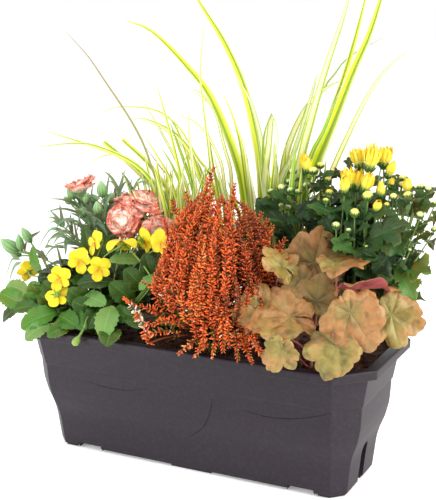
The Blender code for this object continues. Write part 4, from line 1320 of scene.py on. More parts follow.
# Blades of the fine grass above the tuft: points along it, width, kind.
FINE_GRASS = (
    (((-74, 45, 253), (-102, 40, 294), (-148, 32, 315), (-178, 26, 318), (-226, 18, 312)),
     5.7, "blade"),
    (((-92, 45, 300), (-113, 48, 339), (-151, 52, 386), (-173, 55, 411), (-202, 58, 436)),
     2.8, "dry"),
    (((-48, 38, 269), (-59, 40, 319), (-71, 43, 355), (-82, 46, 386)), 5.9, "blade"),
    (((-32, 36, 265), (-36, 37, 304), (-41, 40, 337), (-42, 42, 362)), 5.4, "pale"),
    (((-80, 45, 261), (-118, 42, 299), (-171, 38, 317), (-222, 34, 329)), 4.9, "blade"),
    (((-68, 45, 251), (-112, 45, 292), (-148, 42, 319)), 8.4, "cut"),
    (((-66, 50, 256), (-95, 52, 294), (-130, 52, 322)), 7.3, "cut"),
    (((-105, 45, 294), (-131, 42, 306), (-155, 36, 301), (-168, 32, 285)), 3.5, "blade"),
    (((-35, 45, 298), (-59, 48, 330), (-97, 50, 345), (-118, 50, 345)), 5.7, "blade"),
    (((-41, 50, 298), (-72, 54, 331), (-112, 58, 345)), 4.6, "pale"),
    (((-41, 45, 281), (-59, 48, 336), (-84, 50, 355), (-132, 50, 357), (-163, 48, 346)),
     3.5, "blade"),
    (((-45, 45, 264), (-60, 50, 297), (-84, 54, 334), (-110, 58, 370)), 5.1, "pale"),
    (((-17, 40, 283), (-20, 42, 321), (-26, 44, 365), (-29, 45, 402), (-22, 45, 452)),
     3.0, "blade"),
    (((-17, 45, 283), (-35, 46, 309), (-59, 48, 341), (-87, 50, 354)), 4.9, "blade"),
    (((-4, 45, 289), (-16, 46, 322), (-34, 48, 343), (-63, 50, 354)), 5.1, "pale"),
    (((5, 45, 284), (-4, 47, 322), (-18, 50, 360), (-46, 52, 380)), 5.4, "pale"),
    (((-67, 45, 279), (-79, 45, 295), (-99, 45, 318)), 3.2, "dry"),
    (((-61, 40, 274), (-79, 40, 307), (-98, 40, 332)), 4.9, "blade"),
    (((2, 40, 246), (-5, 42, 281), (-12, 44, 304), (-17, 46, 317)), 7.0, "pale"),
    (((-10, 44, 256), (-14, 46, 286), (-18, 48, 303), (-24, 50, 339)), 6.5, "blade"),
    (((-24, 46, 260), (-29, 47, 290), (-42, 49, 310), (-55, 50, 320)), 6.0, "blade"),
    (((-38, 44, 268), (-50, 45, 302), (-60, 47, 325), (-68, 48, 345)), 7.0, "green"),
    (((-50, 44, 265), (-60, 45, 289), (-69, 47, 303), (-80, 48, 317)), 7.0, "green"),
    (((4, 36, 215), (1, 39, 244), (-5, 43, 270), (-16, 46, 299)), 7.5, "green"),
)
BROAD_GRASS = (
    (((22, 50, 243), (11, 52, 300), (-19, 54, 367), (-48, 55, 401), (-91, 57, 437),
      (-126, 58, 449)), 10.9, "sun"),
    (((37, 52, 244), (35, 53, 302), (18, 56, 374), (-5, 58, 423), (-29, 60, 457), (-52, 62, 488)),
     12.1, "sun"),
    (((42, 50, 275), (38, 50, 324), (26, 52, 366), (10, 53, 392)), 8.6, "pale"),
    (((25, 44, 268), (17, 44, 322), (8, 44, 354), (-4, 44, 379)), 6.9, "sun"),
    (((60, 50, 287), (64, 52, 317), (72, 54, 341), (83, 56, 363), (97, 58, 379), (111, 60, 389),
      (121, 62, 392)), 9.6, "pale"),
    (((86, 60, 300), (106, 61, 350), (123, 62, 400), (136, 64, 448), (146, 66, 492)), 8.6, "sun"),
    (((92, 52, 300), (113, 54, 351), (133, 57, 403), (149, 60, 441), (167, 62, 500)), 13.8, "sun"),
    (((112, 58, 304), (131, 60, 347), (150, 60, 384), (168, 59, 407), (189, 58, 424)), 7.4, "pale"),
    (((81, 46, 310), (92, 48, 353), (106, 50, 402), (122, 53, 450), (134, 55, 490)), 9.8, "pale"),
    (((93, 46, 316), (106, 48, 343), (124, 50, 388)), 8.0, "green"),
    (((45, 40, 286), (50, 40, 324), (53, 40, 352), (56, 40, 359), (59, 40, 348), (61, 40, 330),
      (56, 40, 298)), 9.6, "pale"),
    (((41, 46, 308), (42, 46, 335), (49, 46, 357)), 5.8, "green"),
    (((60, 46, 290), (73, 46, 315), (87, 48, 358), (99, 50, 402)), 8.0, "pale"),
    (((95, 64, 374), (109, 64, 395), (122, 64, 412), (141, 62, 424), (163, 60, 435)), 3.2, "green"),
    (((19, 56, 256), (8, 58, 305), (-10, 60, 343), (-34, 60, 372), (-49, 60, 379)), 7.5, "pale"),
    (((30, 40, 240), (28, 40, 280), (22, 42, 320), (14, 44, 342)), 6.9, "pale"),
    (((70, 46, 250), (76, 48, 290), (84, 50, 330), (86, 52, 356)), 9.2, "sun"),
    (((52, 50, 250), (54, 52, 290), (50, 54, 322)), 9.2, "green"),
    (((27, 44, 248), (25, 46, 276), (18, 48, 317), (11, 50, 341)), 9.5, "green"),
    (((71, 52, 314), (78, 54, 338), (84, 56, 363), (90, 58, 378), (95, 60, 401)), 6.0, "green"),
    (((91, 56, 309), (109, 59, 356), (118, 61, 383), (127, 64, 402)), 6.4, "green"),
    (((26, 40, 203), (19, 43, 234), (9, 47, 262), (-4, 50, 290)), 9.0, "sun"),
    (((18, 36, 203), (12, 39, 236), (5, 43, 262), (-6, 46, 287)), 8.4, "pale"),
    (((29, 42, 216), (28, 45, 253), (25, 47, 283), (18, 50, 309)), 9.5, "sun"),
    (((40, 44, 238), (44, 46, 269), (45, 48, 294), (45, 50, 321)), 10.0, "pale"),
)
# Which of the four looks a kind has. A "cut" blade ends bluntly.
GRASS_KINDS = {"blade": 0, "sun": 0, "cut": 0, "green": 1, "pale": 2, "dry": 3}
BLADE_ROOT = 0.012


def grass_look(name, *stops):
    """A striped blade. stops run across it from one edge to the other."""
    look = Look(name, Subsurface_Weight=0.2, Subsurface_Scale=0.003)
    across = look.line(look.place(0), 0.5, 0.5)
    shift = look.line(look.place(2), 0.24, -0.12)
    shade = look.ramp(look.math("ADD", across, shift), *stops)
    ribs = look.stripes(look.place(0), 6.0)
    fresh = look.times(look.ramp(look.place(1), (0.0, 1.0), (0.7, 0.0)), 0.74)
    shade = look.mix(fresh, shade, "a0cc08")
    look.paint(look.mix(look.times(ribs, 0.3), shade, "e7ecb8", "MULTIPLY"))
    look.rough(look.noise(120.0), 0.38, 0.5)
    look.bump(ribs, 0.0003, 0.4)
    return look.material


def grass_looks(name):
    return [
        grass_look(name + "_striped", (0.0, "f1f0bc"), (0.16, "e9e878"), (0.24, "d8de1e"),
                   (0.46, "cbdc1c"), (0.5, "8fb52a"), (0.6, "66951f"), (0.72, "8db330"),
                   (0.86, "c6d86c"), (0.9, "f3f2cc")),
        grass_look(name + "_green", (0.0, "dfe8a4"), (0.14, "86b32e"), (0.38, "649a28"),
                   (0.44, "a6cf22"), (0.62, "b4d826"), (0.68, "78a83a"), (0.88, "8fb950"),
                   (1.0, "edf0c8")),
        grass_look(name + "_cream", (0.0, "9cbd50"), (0.12, "7fac3a"), (0.22, "e6e79a"),
                   (0.5, "f7f6d2"), (0.72, "eeeda6"), (0.8, "8fb544"), (0.92, "a9c860"),
                   (1.0, "e9eec0")),
        stem_look(name + "_dry", "98b048", "a08a58"),
    ]


def grow_grass(growth, rng, crown, points, width, kind):
    """A blade that rises from the crown and goes on smoothly through its points."""
    points = mm(points)
    foot = foot_near(rng, crown, BLADE_ROOT, BLADE_ROOT)
    back = unit(points[0] - points[1]) * np.linalg.norm(points[0] - foot) * 0.45
    lift = foot * 0.25 + (points[0] + back) * 0.5 + points[0] * 0.25
    points = np.vstack([foot, lift, points])
    grow_blade(growth, points, width / 1000, cut_strap if kind == "cut" else strap, rows=34, cols=7,
               hint=np.array(RIGHTWARD) + rng.normal(0, 0.15, 3), fold=rng.uniform(0.15, 0.45),
               tone=rng.uniform(0.2, 0.8), slot=GRASS_KINDS[kind], twist=rng.uniform(-0.5, 0.5),
               flip=rng.choice((-1.0, 1.0)))


def make_grass(name, crown, table, nodes, tuft, fillers, reach, widths, seed):
    """The table's blades, the first of them one piece per node, and short blades that fill up."""
    rng = np.random.default_rng(seed)
    looks = grass_looks(name)
    rest = Growth()
    for number, (points, width, kind) in enumerate(table):
        target = Growth() if number < len(nodes) else rest
        grow_grass(target, rng, crown, points, width, kind)
        if number < len(nodes):
            target.build(f"{name}_{number + 1}", looks, "grass_blade", [nodes[number]])
    for _ in range(fillers):
        turn = rng.uniform(0, 2 * math.pi)
        height = rng.uniform(0.45, 1.0)
        spread = rng.uniform(0.25, 1.0)
        out = np.array([math.cos(turn), math.sin(turn)]) * spread * (1.25 - 0.5 * height)
        tip = crown + [out[0] * reach[0], out[1] * reach[1], height * reach[2]]
        tip[1] = np.clip(tip[1], -0.005, BACK_LIMIT)
        foot = foot_near(rng, crown, 0.013, 0.013)
        path = bow(foot, (out[0] * 0.4, out[1] * 0.2, 1.0), tip, 9, 0.62)
        across = np.cross([*out, 0.02], (0, 0, 1)) if rng.uniform() < 0.6 else RIGHTWARD
        grow_blade(rest, path, rng.uniform(*widths), strap, rows=15, cols=5, hint=across,
                   fold=rng.uniform(0.2, 0.5), tone=rng.uniform(0, 1),
                   slot=int(rng.choice((0, 0, 1, 2))), twist=rng.uniform(-0.9, 0.9),
                   flip=rng.choice((-1.0, 1.0)))
    rest.build(name + "_rest", looks, "grass_blade", tuft)


# ---- heather ----------------------------------------------------------------------------

HEATHER_CROWN = mm((18, -29, 126))
# Shape of the bush: height, half width, how far it reaches forwards and backwards.
HEATHER_MIDDLE = mm((27, -29, 0))
HEATHER_DOME = ((140, 38, 40, 24), (158, 52, 52, 32), (175, 63, 58, 42), (195, 69, 60, 44),
                (225, 59, 52, 40), (250, 50, 40, 34), (268, 38, 28, 26), (282, 24, 14, 14),
                (292, 12, 8, 8))
# Single spikes: foot, tip and kind. The first four stand for the spikes of the model.
HEATHER_SPIKES = (
    ((8, -30, 252), (18, -20, 311), "tip"), ((38, -26, 248), (41, -20, 297), "tip"),
    ((72, -30, 210), (84, -28, 261), "tip"), ((-26, -80, 144), (-61, -66, 182), "white"),
    ((2, -30, 240), (-9, -28, 286), "tip"), ((-14, -30, 235), (-26, -25, 276), "tip"),
    ((14, -32, 246), (21, -28, 290), "tip"), ((20, -32, 242), (31, -28, 286), "tip"),
    ((34, -34, 236), (40, -30, 279), "tip"), ((50, -32, 232), (56, -28, 275), "tip"),
    ((62, -28, 226), (71, -24, 271), "tip"), ((70, -30, 220), (78, -26, 266), "tip"),
    ((80, -32, 208), (98, -30, 249), "tip"), ((0, -34, 236), (1, -35, 277), "tip"),
    ((84, -34, 200), (104, -34, 232), "tip"), ((-22, -34, 214), (-32, -32, 256), "tip"),
    ((-14, -52, 172), (-42, -60, 199), "full"), ((-12, -50, 180), (-34, -54, 204), "full"),
    ((-16, -62, 160), (-46, -72, 178), "full"), ((-2, -66, 150), (-28, -86, 152), "dry"),
    ((4, -66, 160), (-22, -84, 164), "full"), ((34, -72, 178), (40, -91, 152), "full"),
    ((52, -72, 182), (62, -92, 152), "full"), ((56, -70, 180), (68, -92, 158), "full"),
    ((46, -72, 168), (52, -94, 146), "dry"), ((62, -66, 160), (78, -93, 147), "dry"),
    ((28, -72, 150), (16, -94, 144), "dry"), ((34, -72, 148), (34, -95, 144), "dry"),
    ((68, -60, 164), (94, -86, 160), "full"), ((70, -60, 158), (100, -86, 150), "full"),
    ((66, -62, 152), (90, -88, 144), "full"), ((72, -56, 168), (102, -82, 168), "full"),
    ((29, -4, 176), (30, -4, 244), "full"), ((36, -4, 190), (37, -4, 258), "full"),
    ((44, -4, 186), (45, -4, 254), "full"), ((22, -6, 196), (23, -5, 262), "full"),
    ((39, -12, 200), (41, -10, 268), "full"),
)
# Rings of columns on the bush: lowest and highest tip, how many, how far out, only in front or not.
HEATHER_TIERS = ((262, 288, 26, 1.0, False), (236, 264, 46, 1.0, False),
                 (206, 238, 44, 1.0, False), (184, 206, 22, 1.0, True),
                 (180, 255, 30, 0.62, False), (230, 268, 16, 0.36, False))
WHORL_STEP = 0.0029
FLORETS_IN_WHORL = 4
FLORET_WIDTH = 0.42
SMALL_FLORET, LARGE_FLORET = 0.0052, 0.006
HEATHER_PARTS = 3


def floret_shape():
    """A closed heather flower, along Z: a stalk end, a bell and a mouth that narrows to a point."""
    points = [(0, 0, -0.05)]
    for z, r in ((0.28, 0.5), (0.78, 0.36)):
        points += [(r * math.cos(a), r * math.sin(a), z) for a in np.arange(4) * math.pi / 2 + z]
    points.append((0, 0, 1.1))
    faces = [(0, 1 + (k + 1) % 4, 1 + k) for k in range(4)]
    for k in range(4):
        a, b = 1 + k, 1 + (k + 1) % 4
        faces += [(a, b, b + 4), (a, b + 4, a + 4)]
    faces += [(9, 5 + k, 5 + (k + 1) % 4) for k in range(4)]
    points = np.array(points)
    return points, np.array(faces), np.stack([np.zeros(10), np.clip(points[:, 2], 0, 1)], 1)


FLORET = floret_shape()


def floret_light(rng, kind, t, shade):
    """How light one floret is, t of the way up a spike of this kind."""
    light = rng.normal(0.58, 0.16) + shade
    if kind == "tip":
        return light - 0.3 * np.clip((t - 0.35) * 2.2, 0, 1)
    if kind == "dry":
        return rng.choice((0.35, 0.6, 0.92), p=(0.3, 0.35, 0.35))
    if kind == "white":
        in_band = 0.12 < t < 0.82 and rng.uniform() < 0.75
        return rng.uniform(0.95, 1.05) if in_band else rng.uniform(0.4, 0.7)
    return light - 0.2 * np.clip((t - 0.85) * 6, 0, 1)


def heather_spike(growth, rng, path, kind, size=SMALL_FLORET, shade=0.0):
    """Florets all round a stem, in whorls that get smaller towards its tip."""
    length = np.linalg.norm(np.diff(path, axis=0), axis=1).sum()
    growth.tube(path, np.linspace(0.0011, 0.0005, len(path)), sides=4, slot=1, tone=0.3)
    whorls = int(length / WHORL_STEP)
    if whorls < 3:
        return
    dense = through(path, whorls)
    along, side, _ = travel(dense, (1.0, 0.2, 0.1))
    other = np.cross(along, side)
    spot, turn, tone, slot = [], [], [], []
    for k in range(whorls):
        t = k / (whorls - 1)
        small = np.interp(t, (0, 0.2, 0.72, 1), (0.8, 1.0, 0.9, 0.52))
        for j in range(FLORETS_IN_WHORL):
            a = 2 * math.pi * (j + 0.5 * (k % 2)) / FLORETS_IN_WHORL + rng.uniform(-0.6, 0.6)
            out = turned(a, side[k], other[k])
            lean = rng.uniform(-0.3, 0.85) + 1.3 * t**3
            aim = unit(out + along[k] * lean + rng.normal(0, 0.15, 3))
            scale = size * small * rng.uniform(0.7, 1.2)
            first, _, _ = axes(aim, (0.3, 0.2, 1.0) if abs(aim[2]) < 0.8 else (1, 0, 0))
            third = np.cross(first, aim)
            spot.append(dense[k] + out * 0.0005)
            turn.append(np.stack([first * FLORET_WIDTH, third * FLORET_WIDTH, aim]) * scale)
            tone.append(np.clip(floret_light(rng, kind, t, shade), 0.02, 1.0))
            slot.append(2 if rng.uniform() < (0.3 if kind == "dry" else 0.06) else 0)
    growth.copies(FLORET, np.array(spot), np.array(turn), tone, np.array(slot))


def heather_look():
    look = Look("heather_floret", Subsurface_Weight=0.12, Subsurface_Scale=0.002)
    shade = look.ramp(look.place(2), (0.0, "5a1806"), (0.22, "a8360a"), (0.42, "db4e10"),
                      (0.6, "ee671c"), (0.8, "f58a3a"), (0.93, "f5b07a"), (1.0, "f8f0e6"))
    look.paint(look.mix(look.ramp(look.place(1), (0.5, 0.0), (1.0, 0.5)), shade, "f79a48"))
    look.rough(look.noise(500.0), 0.5, 0.7)
    look.bump(look.noise(1800.0), 0.0002, 0.4)
    return look.material


def heather_twig(growth, foot, height, count, thickness):
    """The bare wood from the crown to the foot of a spike."""
    lead = (foot[0] - 0.018, foot[1] + 0.029, height)
    growth.tube(bow(HEATHER_CROWN, lead, foot, count), thickness, sides=4, slot=1)


def make_heather():
    rng = np.random.default_rng(61)
    needle = Look("heather_needle", Roughness=0.7)
    needle.paint(needle.ramp(needle.place(2), (0.0, "2c2409"), (0.6, "54541a"), (1.0, "85862e")))
    looks = [heather_look(), stem_look("heather_twig", "5a2a10", "96481c"), needle.material]
    heights, wide, front, behind = mm(HEATHER_DOME).T
    upright = (0.0, -0.05, 1.0)
    for number, (foot, tip, kind) in enumerate(HEATHER_SPIKES[:4], 1):
        growth = Growth()
        path = bow(mm(foot), upright, mm(tip), 12, 0.4)
        heather_spike(growth, rng, path, kind, size=LARGE_FLORET)
        growth.build(f"heather_spike_bloom_{number}", looks, "heather_flower",
                     [f"heather_spike_{number}"])
    parts = [Growth() for _ in range(HEATHER_PARTS)]
    for number, (foot, tip, kind) in enumerate(HEATHER_SPIKES):
        foot, tip = mm(foot), mm(tip)
        heather_twig(parts[0], foot, 0.12, 8, 0.0011)
        if number > 3:
            path = bow(foot, upright, tip, 10, 0.4)
            heather_spike(parts[number % HEATHER_PARTS], rng, path, kind,
                          size=LARGE_FLORET if kind == "tip" else SMALL_FLORET,
                          shade=-0.15 if tip[0] > 0.07 and tip[2] > 0.18 else 0.0)
    count = 0
    for lowest, highest, columns, fill, in_front in HEATHER_TIERS:
        for k in range(columns):
            share = 2 * ((k * 0.618 + 0.31) % 1) - 1
            if in_front:
                share = share * 0.55
            turn = math.pi * math.copysign(abs(share) ** 1.2, share) - math.pi / 2
            turn += rng.uniform(-0.08, 0.08)
            top = rng.uniform(lowest, highest) / 1000
            length = rng.uniform(0.052, 0.074)
            rise = np.linspace(top - length, top, 10)
            bare = (0.15 if k % 5 == 0 else 0.17) + (0.016 if math.cos(turn) < -0.05 else 0.0)
            share_out = fill * rng.uniform(0.9, 1.04) * np.linspace(0.86, 1.0, 10)
            half = np.interp(rise, heights, wide) * share_out
            deep = np.interp(rise, heights, front if math.sin(turn) < 0 else behind) * share_out
            path = np.stack([half * math.cos(turn), deep * math.sin(turn), rise], 1)
            path = (HEATHER_MIDDLE + path)[rise >= bare] + rng.normal(0, 0.0012, 3)
            if len(path) < 4:
                continue
            count += 1
            growth = parts[count % HEATHER_PARTS]
            heather_twig(growth, path[0], 0.1, 6, 0.001)
            # Painted shade: columns deep inside the bush (fill under 0.9) are painted darker for
            # the shade in its middle. Columns on the right and at the top are made darker as well.
            shade = rng.uniform(-0.26, 0.12) - 0.36 * np.clip((path[-1][0] - 0.035) / 0.03, 0, 1)
            shade -= 0.12 * np.clip((top - 0.265) / 0.01, 0, 1) + (0.25 if fill < 0.9 else 0.0)
            heather_spike(growth, rng, path, "full", shade=shade)
    for number, growth in enumerate(parts, 1):
        nodes = ["heather_bush"] if number == 1 else []
        growth.build(f"heather_branches_{number}", looks, "heather_flower", nodes)


# ---- chrysanthemum ----------------------------------------------------------------------

MUM_CROWN = mm((140, 31, 125))
# Half-open flowers: base, top, width, how far they are open. The first five are the model's.
MUM_FLOWERS = (
    ((98, 20, 307), (97, 20, 325), 11, 0.35), ((146, 2, 294), (147, 0, 308), 11, 0.25),
    ((166, 15, 316), (171, 14, 337), 14, 0.75), ((203, 20, 294), (201, 20, 307), 10, 0.35),
    ((182, -10, 282), (186, -14, 291), 9, 0.2), ((153, 25, 315), (148, 25, 332), 13, 0.7),
    ((175, 30, 317), (178, 30, 334), 13, 0.7), ((181, 25, 308), (187, 25, 321), 10, 0.3),
    ((149, 10, 297), (145, 10, 315), 12, 0.7), ((153, 15, 296), (156, 15, 313), 12, 0.7),
    ((164, 8, 296), (170, 8, 311), 12, 0.5), ((102, 14, 309), (104, 14, 321), 10, 0.3),
    ((180, 10, 291), (179, 10, 304), 9, 0.15), ((185, 20, 298), (188, 20, 306), 6, 0.4),
)
# Closed buds: middle, width, and how yellow their tip is.
MUM_BUDS = (
    ((112, 25, 313), 8, 0.8), ((109, 14, 309), 10, 0.6), ((83, 25, 305), 8, 0.5),
    ((122, 20, 300), 8, 0.8), ((130, 4, 291), 9, 0.9), ((192, 10, 291), 8, 0.5),
    ((206, 10, 293), 10, 0.7), ((195, 25, 300), 7, 0.3), ((215, 20, 300), 8, 0.6),
    ((222, 20, 299), 7, 0.2), ((189, 0, 285), 6, 0.8), ((170, 0, 292), 11, 0.8),
    ((161, -10, 277), 10, 0.7), ((144, -14, 264), 9, 0.1), ((221, 0, 278), 8, 0.2),
    ((202, 0, 272), 5, 0.1), ((174, -12, 246), 4, 0.6), ((212, 0, 244), 4, 0.2),
    ((156, -12, 260), 6, 0.0), ((121, 4, 279), 6, 0.6), ((128, 0, 284), 7, 0.7),
    ((64, 15, 285), 8, 0.0), ((75, 15, 290), 9, 0.2), ((79, 25, 294), 8, 0.0),
    ((87, 10, 289), 8, 0.0), ((93, 14, 287), 8, 0.0), ((100, 20, 293), 9, 0.1),
    ((86, 8, 272), 7, 0.0), ((76, 12, 273), 6, 0.5), ((140, 60, 306), 8, 0.5),
    ((160, 66, 312), 9, 0.4), ((185, 58, 300), 8, 0.6), ((118, 64, 298), 8, 0.2),
    ((205, 50, 288), 8, 0.4), ((172, 72, 296), 7, 0.6), ((140, 76, 290), 7, 0.3),
    ((224, 34, 282), 7, 0.2), ((100, 62, 284), 7, 0.0), ((198, 66, 282), 7, 0.3),
    ((230, 16, 262), 6, 0.2),
)
# Leaves seen one by one: base, tip, tone, width, the way the face looks.
MUM_LEAVES = (
    ((88, 10, 246), (46, 18, 277), 0.25, 30, (0.1, -0.7, 0.6)),
    ((136, 5, 260), (104, 0, 276), 0.2, 26, (0.1, -0.6, 0.8)),
    ((146, 5, 264), (114, -6, 283), 0.35, 24, (0.2, -0.5, 0.8)),
    ((170, -6, 249), (217, -17, 275), 0.3, 36, (0.2, -0.8, 0.5)),
    ((204, 20, 272), (231, 14, 298), 0.5, 20, (-0.2, -0.8, 0.4)),
    ((212, 10, 275), (235, 5, 288), 0.5, 16, (0.0, -0.7, 0.7)),
    ((209, 10, 254), (228, 4, 271), 0.5, 17, (0.0, -0.8, 0.6)),
    ((212, 10, 251), (233, 9, 261), 0.6, 10, (0.0, -0.7, 0.7)),
    ((163, -12, 238), (143, -24, 255), 0.85, 20, (0.2, -0.8, 0.5)),
    ((194, 10, 222), (234, -2, 226), 0.85, 34, (0.1, -0.6, 0.8)),
    ((194, 6, 224), (222, -8, 202), 0.95, 26, (0.4, -0.7, 0.5)),
    ((173, -8, 245), (211, -22, 258), 0.35, 26, (0.1, -0.8, 0.5)),
    ((200, 0, 247), (181, -12, 221), 0.1, 30, (0.4, -0.8, 0.3)),
    ((142, 30, 308), (137, 35, 322), 0.3, 11, (0.3, -0.8, 0.2)),
    ((122, 30, 300), (132, 30, 309), 0.3, 12, (0.2, -0.8, 0.4)),
    ((168, -5, 269), (201, -16, 284), 0.35, 18, (0.1, -0.6, 0.8)),
    ((118, 25, 300), (114, 8, 291), 0.2, 18, (0.1, -0.8, 0.6)),
    ((114, 10, 283), (99, -2, 266), 0.1, 22, (0.2, -0.9, 0.3)),
    ((193, 20, 294), (187, 20, 306), 0.3, 12, (0.3, -0.8, 0.2)),
    ((211, 10, 281), (197, 4, 292), 0.35, 15, (0.3, -0.8, 0.4)),
    ((150, 0, 270), (147, 8, 292), 0.5, 14, (0.3, -0.9, 0.2)),
    ((170, 0, 272), (161, 8, 287), 0.5, 12, (0.3, -0.9, 0.2)),
    ((176, 8, 270), (180, 16, 291), 0.35, 14, (0.3, -0.9, 0.2)),
    ((136, 0, 250), (127, -4, 274), 0.2, 18, (0.3, -0.9, 0.2)),
    ((184, 0, 228), (194, -14, 212), 0.7, 18, (0.4, -0.8, 0.3)),
    ((101, 6, 259), (86, 2, 264), 0.3, 14, (0.1, -0.8, 0.5)),
    ((80, 5, 232), (85, -2, 254), 0.0, 20, (0.3, -0.9, 0.3)),
    ((122, 12, 262), (106, 8, 250), 0.1, 24, (0.3, -0.9, 0.3)),
    ((160, -4, 240), (186, -14, 236), 0.3, 24, (0.3, -0.8, 0.4)),
    ((186, 6, 256), (208, -4, 240), 0.4, 24, (0.3, -0.8, 0.4)),
)
# The leaves that fill the plant: how many, and the middle and half size of the mound they lie in.
MUM_FILLERS = 176
MUM_MIDDLE, MUM_REACH = mm((150, 28, 224)), mm((84, 50, 74))
CLOSED_BUD_PROFILE = ((0, 0.3), (0.1, 0.7), (0.3, 0.96), (0.5, 1.0), (0.7, 0.9), (0.88, 0.62),
                      (0.97, 0.3), (1, 0.05))
# Rings of rays: how many, how far they lean out, how long.
MUM_RAYS = ((12, 0.8, 0.9), (11, 0.45, 1.0), (8, 0.2, 0.97))
# Rings of bracts on a closed bud: how low they start and how high they reach.
BUD_BRACTS = ((0.9, 0.42), (0.7, 0.62))
ASIDE = (1, 0.2, 0.1)


def lobed(v):
    """Half width of a chrysanthemum leaf: a stalked wedge with side lobes and one at the tip."""
    body = np.interp(v, (0, 0.12, 0.32, 0.55, 0.75, 1.0), (0.16, 0.2, 0.75, 1.0, 0.8, 0.1))
    notch = 0.42 + 0.58 * np.abs(np.sin(math.pi * (2.55 * np.clip(v, 0.12, 1) - 0.05))) ** 0.75
    return body * np.where(v < 0.14, 1.0, notch) * np.sqrt(np.clip((1.02 - v) * 9, 0, 1))


def mum_leaf(growth, rng, base, tip, tone, width, face, phase, rows=25, cols=7):
    grow_leaf(growth, base, tip, face, width, lobed, rows=rows, cols=cols,
              arch=rng.uniform(0.02, 0.16), fold=rng.uniform(0.15, 0.45), wave=0.06, waves=2.5,
              teeth=10, bite=0.16, groove=0.07, tone=tone, phase=phase,
              droop=rng.uniform(0, 0.12), sweep=0.22)


def bract(growth, start, belly, end, width, up, around, tone):
    """A green bract that hugs a bud."""
    grow_blade(growth, [start, belly, end], width, lance, hint=np.cross(up, around), rows=5, cols=3,
               fold=-0.1, tone=tone, slot=0, under=1)


def mum_bud(growth, middle, width, yellow, rng):
    """A round bud of green bracts that leaves its pale or yellow tip free."""
    middle = mm(middle)
    radius = width / 2100
    up = unit(np.array([rng.uniform(-0.35, 0.35), rng.uniform(-0.5, 0.1), 1.0]))
    bulb(growth, middle - up * radius * 0.9, middle + up * radius * 0.95, radius,
         0.2 + 0.8 * yellow, slot=3, steps=9, profile=CLOSED_BUD_PROFILE)
    side, _, out = axes(up, ASIDE)
    for ring, (low, reach) in enumerate(BUD_BRACTS):
        for k in range(7):
            around = turned(2 * math.pi * (k + 0.5 * ring) / 7, side, out)
            start = middle - up * radius * low + around * radius * 0.3
            belly = middle - up * radius * 0.2 + around * radius * 1.06
            end = middle + up * radius * reach + around * radius * 0.92
            bract(growth, start, belly, end, radius * 0.66, up, around, rng.uniform(0.4, 0.9))


def mum_flower(growth, base, top, width, open_by, rng):
    """A bud that opens: yellow rays stand up round its middle, bracts below."""
    base, top = mm(base), mm(top)
    up = unit(top - base)
    length = np.linalg.norm(top - base) * 1.05
    radius = width / 2000
    bulb(growth, base - up * radius * 0.7, base + up * length * 0.6, radius * 0.78, 1.0, slot=3,
         steps=9)
    side, _, out = axes(up, ASIDE)
    for ring, (count, lean, reach) in enumerate(MUM_RAYS):
        for k in range(count):
            around = turned(2 * math.pi * (k + rng.uniform(-0.3, 0.3)) / count + ring, side, out)
            start = base + around * radius * 0.45
            belly = base + up * length * 0.42 + around * radius * (0.85 + 0.35 * open_by * lean)
            height = length * reach * rng.uniform(0.8, 1.08)
            spread = radius * (0.3 + rng.uniform(1.2, 1.9) * open_by * lean)
            grow_blade(growth, [start, belly, base + up * height + around * spread],
                       rng.uniform(0.0024, 0.0036), petal_strap, hint=np.cross(up, around), rows=8,
                       cols=5, fold=-0.3, tone=rng.uniform(0.0, 1.0), slot=2, thickness=0.0003)
    for k in range(10):
        around = turned(2 * math.pi * k / 10, side, out)
        bract(growth, base - up * radius * 0.75 + around * radius * 0.3,
              base + around * radius * 0.86, base + up * radius * 0.55 + around * radius * 0.98,
              radius * 0.6, up, around, 0.5)


def petal_strap(v):
    """Half width of a ray petal."""
    return (0.5 + 0.5 * np.clip(v / 0.5, 0, 1)) * np.sqrt(np.clip((1.02 - v) * 4, 0, 1))


